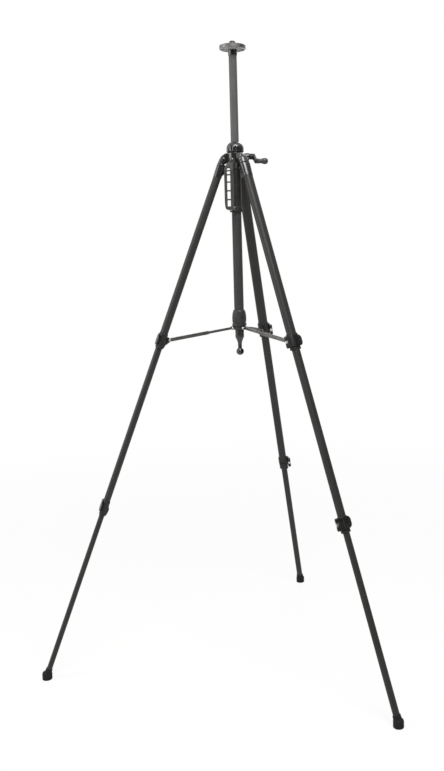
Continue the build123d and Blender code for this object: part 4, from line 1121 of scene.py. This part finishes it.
for leg, azimuth in LEG_AZIMUTHS.items():
    spreader_rivet = rivet(f"{leg}_spreader_rivet", shank=2.0, head=3.5, grip=5.4, dome=1.1)
    moved(spreader_rivet, upright(azimuth) @ shift(SPREADER_RADIUS, 0, SPREADER_HEIGHT) @ ACROSS)
    dress(spreader_rivet, "hub", bright_steel, "steel", "hub_rivets")

# %% [markdown]
# The carry handle is a ladder-shaped strap that bows out between the two front legs. A grid gives its
# rows, each row is laid on the strap's path at its own width, and the middle faces of the windows are
# deleted. Solidify gives the thickness, a bevel fillets the window corners, and a finer one the edges.

# %% Carry handle
HANDLE_THICKNESS, HANDLE_REACH, HANDLE_HALF = 4.5, 50.0, 11.2
WINDOW_HALF, WINDOW_CORNER, CORNER_NEAR = 5.0, 1.45, 0.4
# heights of the rows on the straight stretch
STRAIGHT_HEIGHTS = [
    1226.2, 1222.9, 1219.6, 1216.3, 1209.0, 1201.8, 1198.5, 1189.6, 1180.7, 1177.3, 1168.2, 1159.2, 1155.8,
]
# rows from the crown down: radius from the column, height above the floor, half width of the strap
HANDLE_ROWS = [
    (23.6, 1261.0, 7.5), (23.6, 1253.4, 7.5), (24.1, 1251.4, 7.5), (25.6, 1250.0, 7.6), (33.0, 1246.4, 8.0),
    (40.0, 1242.6, 8.8), (43.6, 1240.0, 9.4), (46.4, 1237.4, 10.0), (48.3, 1234.6, 10.6),
    (49.3, 1231.9, 11.0), (49.8, 1229.3, HANDLE_HALF),
    *((HANDLE_REACH, height, HANDLE_HALF) for height in STRAIGHT_HEIGHTS),
    (HANDLE_REACH, 1148.5, 11.0), (HANDLE_REACH, 1141.2, 10.4), (49.6, 1138.6, 9.8), (48.4, 1136.7, 9.0),
    (46.2, 1135.6, 8.5), (36.0, 1134.6, 8.0), (26.0, 1133.8, 7.6), (14.6, 1133.2, 7.2),
]
# first and last row of each window
HANDLE_WINDOWS = [(8, 10), (11, 13), (14, 16), (17, 19), (20, 22), (23, 25)]
deselect()
bpy.ops.mesh.primitive_grid_add(x_subdivisions=3, y_subdivisions=len(HANDLE_ROWS) - 1, size=0.1)
handle = bpy.context.object
handle.name = "ladder_handle"
for index, vertex in enumerate(handle.data.vertices):
    radius, height, half = HANDLE_ROWS[index // 4]
    across = (-half, -WINDOW_HALF, WINDOW_HALF, half)[index % 4]
    vertex.co = Vector((across, -radius, height)) * MM
bpy.ops.object.mode_set(mode="EDIT")
for top, bottom in HANDLE_WINDOWS:
    upper, lower = HANDLE_ROWS[top][1], HANDLE_ROWS[bottom][1]
    pick(lambda place: abs(place.x) < 1 and lower < place.z < upper, "FACE")
    bpy.ops.mesh.delete(type="ONLY_FACE")
bpy.ops.mesh.select_mode(type="EDGE")
bpy.ops.mesh.select_all(action="DESELECT")
bpy.ops.mesh.select_loose()
bpy.ops.mesh.delete(type="EDGE")
bpy.ops.object.mode_set(mode="OBJECT")
apply_modifier(handle, "SOLIDIFY", thickness=HANDLE_THICKNESS * MM, offset=0.0)
window_corners = [
    Vector((side * WINDOW_HALF, -HANDLE_ROWS[row][0], HANDLE_ROWS[row][1]))
    for window in HANDLE_WINDOWS for row in window for side in (1, -1)
]
choose(handle)
bpy.ops.object.mode_set(mode="EDIT")
pick(lambda place: any((place - corner).length < CORNER_NEAR for corner in window_corners), "EDGE")
bpy.ops.mesh.bevel(offset=WINDOW_CORNER * MM, segments=4, affect="EDGES")
bpy.ops.object.mode_set(mode="OBJECT")
round_edges(handle, 0.9, segments=3, angle=50.0)
dress(moved(handle, upright()), "crown", handle_grey, "black_gloss", "carry_handle", smooth=50.0)

# %% [markdown]
# Two cross-head screws hold the handle, one on the crown and one on the guide's band. Each is a turned
# pan head on a short shank, and two crossed bars cut its drive.

# %% Handle screws
SCREW_PLACES = [(25.9, 1257.0), (16.2, 1138.6)]
CROSS_LENGTH, CROSS_WIDTH = 4.6, 1.0
for number, (radius, height) in enumerate(SCREW_PLACES, 1):
    screw = turn(f"handle_screw_{number}", [
        (2.0, -7.0), (2.0, 0.0), (4.0, 0.0), (4.0, 0.5), (3.6, 1.2), (2.6, 1.75), (1.0, 2.0),
    ], count=40)
    for length, width in ((CROSS_LENGTH, CROSS_WIDTH), (CROSS_WIDTH, CROSS_LENGTH)):
        bar = slab("bar", oblong(-length / 2, 0.9, length / 2, 3.0), width)
        combine(screw, bar, "DIFFERENCE")
    place = axes((0, -radius, height - STAND_HEIGHT), Vector((1, 0, 0)), UP, Vector((0, -1, 0)))
    dress(moved(screw, place), "crown", dark_steel, "steel", "handle_screws")

# %% [markdown]
# A plug closes the foot of the fixed tube and ends in a neck with a ball, bored through for the ballast
# bag's hook. The neck is turned, and the ball is a second turned piece with its bore along its own axis,
# laid on its side and welded to the neck. A flared drill then opens the bore at both ends.

# %% Ballast hook
HOOK_EYE_HEIGHT, HOOK_EYE_AZIMUTH = 779.5, 340.0
hook = turn("ballast_eye_plug", [
    (3.6, 784.0), (4.8, 785.6), (5.0, 788.0), (5.0, 798.0), (5.4, 801.6), (7.1, 807.0), (9.7, 813.0),
    (10.9, 815.2), (11.2, 817.4), (11.2, 823.2), (10.6, 823.8), (10.6, 825.0), (11.2, 825.6), (11.2, 833.4),
    (10.7, 833.9), (10.7, 842.0),
])
eye = turn("eye", [
    (4.5, -6.2), (5.1, -6.9), (5.8, -7.0), *arc(0, 0, 9.5, -46, 46, 20), (5.8, 7.0), (5.1, 6.9), (4.5, 6.2),
], hollow=True)
drill = turn("drill", [
    (6.7, -9.0), (5.9, -6.4), (4.9, -3.6), (4.5, 0.0), (4.9, 3.6), (5.9, 6.4), (6.7, 9.0),
])
eye_place = axes((0, 0, HOOK_EYE_HEIGHT), outward(HOOK_EYE_AZIMUTH + 90), UP, outward(HOOK_EYE_AZIMUTH))
combine(hook, moved(eye, eye_place))
combine(hook, moved(drill, eye_place), "DIFFERENCE")
dress(moved(hook, upright()), "crown", black_gloss, "black_gloss", "ballast_hook")

# %% [markdown]
# The crank arm sits on the pinion shaft: a round boss, a tapered arm that hangs towards the front, and
# the pin for the knob. The knob is a waisted grip turned in one go, with a groove near its base.

# %% Crank and knob
CRANK_THROW, CRANK_DROP = 31.0, 26.5
ARM_FRONT, ARM_THICKNESS = 52.5, 6.0
ARM_ROOT_RADIUS, ARM_TIP_RADIUS = 7.0, 6.0
FLAT_TO_SHAFT = Matrix(((1, 0, 0, 0), (0, 0, 1, 0), (0, -1, 0, 0), (0, 0, 0, 1)))
pin_x, pin_y = -CRANK_THROW * cos(radians(CRANK_DROP)), -CRANK_THROW * sin(radians(CRANK_DROP))
knob_axis = shift(pin_x, pin_y, 0)
crank = turn("crank_lever", [
    (2.5, 39.5), (6.7, 39.5), (7.5, 40.3), (7.5, 51.4), (6.9, 52.2), (5.6, 52.6), (2.2, 52.6),
], count=56)
arm_outline = arc(0, 0, ARM_ROOT_RADIUS, CRANK_DROP - 90, CRANK_DROP + 90, 18)
arm_outline += arc(pin_x, pin_y, ARM_TIP_RADIUS, CRANK_DROP + 90, CRANK_DROP + 270, 18)
arm = slab("arm", arm_outline, ARM_THICKNESS, ARM_THICKNESS / 2 - ARM_FRONT)
combine(crank, moved(round_edges(arm, 1.3, segments=3), FLAT_TO_SHAFT))
knob_pin = turn("knob_pin", [(3.0, 51.0), (3.0, 75.0)], count=32)
combine(crank, moved(knob_pin, knob_axis))
dress(moved(crank, shaft_axes()), "crank", black_matte, "black_gloss", "crank_arm")
knob = turn("crank_grip", [
    (3.06, 24.4), (3.06, 0.5), (5.8, 0.5), (6.4, 1.1), (6.4, 2.4), (5.9, 2.8), (5.9, 3.5), (6.2, 3.9),
    (5.7, 9.0), (6.3, 12.4), (7.5, 16.0), (8.0, 19.0), (7.6, 22.4), (6.4, 25.2), (4.6, 26.8), (2.2, 27.2),
], count=56)
dress(moved(knob, shaft_axes(ARM_FRONT) @ knob_axis), "knob", handle_grey, "black_matte", "crank_knob")

# %% [markdown]
# The instrument plate is a cast disc, dished below and stiffened by six ribs, on a short socket that
# grips the column. The faces of its outer wall get a second, darker finish: painted shade on the wall.

# %% Plate socket and plate
PLATE_RIBS, PLATE_RIB_WIDTH = 6, 2.2
PLATE_SHADE_RADIUS = 31.6
plate_cup = turn("plate_cup", [
    (10.1, 1515.0), (10.8, 1515.0), (11.4, 1515.7), (11.4, 1518.6), (10.9, 1519.2), (10.9, 1520.2),
    (11.4, 1520.8), (11.4, 1525.6), (12.0, 1527.6), (12.9, 1529.0), (10.1, 1529.0),
], hollow=True)
dress(moved(plate_cup, upright()), "column", black_gloss, "black_gloss", "plate_socket")
plate = turn("instrument_plate", [
    (5.1, -10.0), (13.4, -10.0), (13.4, -4.5), (29.7, -4.5), (29.7, -10.0), (31.7, -10.0), (32.5, -9.2),
    (32.5, -0.8), (31.7, 0.0), (27.0, 0.0), (26.6, -0.35), (26.0, -0.35), (25.6, 0.0), (18.0, 0.0),
    (17.6, -0.35), (17.0, -0.35), (16.6, 0.0), (5.1, 0.0),
], count=120, hollow=True)
for number in range(PLATE_RIBS):
    rib = slab("rib", oblong(13.0, -9.9, 30.2, -4.1), PLATE_RIB_WIDTH)
    combine(plate, moved(rib, Matrix.Rotation(number * 2 * pi / PLATE_RIBS, 4, "Z")))
dress(round_edges(plate, 0.2), "column", plate_metal, "bare_metal", "top_plate")
# painted shade: the faces of the outer wall take the darker copy of the plate metal
plate.data.materials.append(plate_wall_painted_shade)
for face in plate.data.polygons:
    if face.center.xy.length > PLATE_SHADE_RADIUS * MM:
        face.material_index = 1

# %% [markdown]
# The stud has a real 5/8 inch thread of 11 turns to the inch. It starts as a plain turned blank with about
# nine rings to each turn, whose points are then moved out by how near the thread's crest they lie. The
# thread runs in at the plate and is chamfered at the end.

# %% Stud
THREAD_PITCH, THREAD_CREST, THREAD_ROOT = 25.4 / 11, 7.9375, 6.6
THREAD_FLAT, THREAD_SLOPE = 1.7, 4.2
STUD_HEIGHT, STUD_RINGS = 11.0, 44
STUD_RUN_IN, STUD_CHAMFER, CHAMFER_SLOPE = 1.6, 1.5, 1.1
blank = [(THREAD_ROOT, STUD_HEIGHT * ring / STUD_RINGS) for ring in range(STUD_RINGS + 1)]
stud = turn("thread_stud", blank)
for vertex in stud.data.vertices:
    place = vertex.co / MM
    phase = (place.z / THREAD_PITCH - atan2(place.y, place.x) / (2 * pi)) % 1.0
    crest = min(1.0, max(0.0, THREAD_FLAT - abs(phase - 0.5) * THREAD_SLOPE))
    run_in = min(1.0, place.z / STUD_RUN_IN)
    limit = THREAD_CREST - max(0.0, place.z - STUD_HEIGHT + STUD_CHAMFER) * CHAMFER_SLOPE
    radius = min(limit, THREAD_ROOT + (THREAD_CREST - THREAD_ROOT) * crest * run_in)
    vertex.co.xy = vertex.co.xy * (radius / THREAD_ROOT)
dress(stud, "column", dark_steel, "steel", "head_stud")

# %% [markdown]
# The tubes, the braces and what is hidden inside keep their solids, whose shapes are right, and only get
# their finishes.

# %% Finishes of the solids
SOLID_FINISHES = {
    "column_sleeve": sleeve_paint,
    "centre_column": column_paint,
    "gear_rack": rack_nylon,
    "pinion_shaft": bright_steel,
}
for name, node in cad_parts.items():
    finish = SOLID_FINISHES.get(name, black_matte)
    if "tube" in name:
        finish = leg_paint[name.split("_")[0]]
    elif "brace" in name:
        finish = brace_metal
    node.data.materials.clear()
    node.data.materials.append(finish)
print("solids shown", sum(not node.hide_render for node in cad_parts.values()))
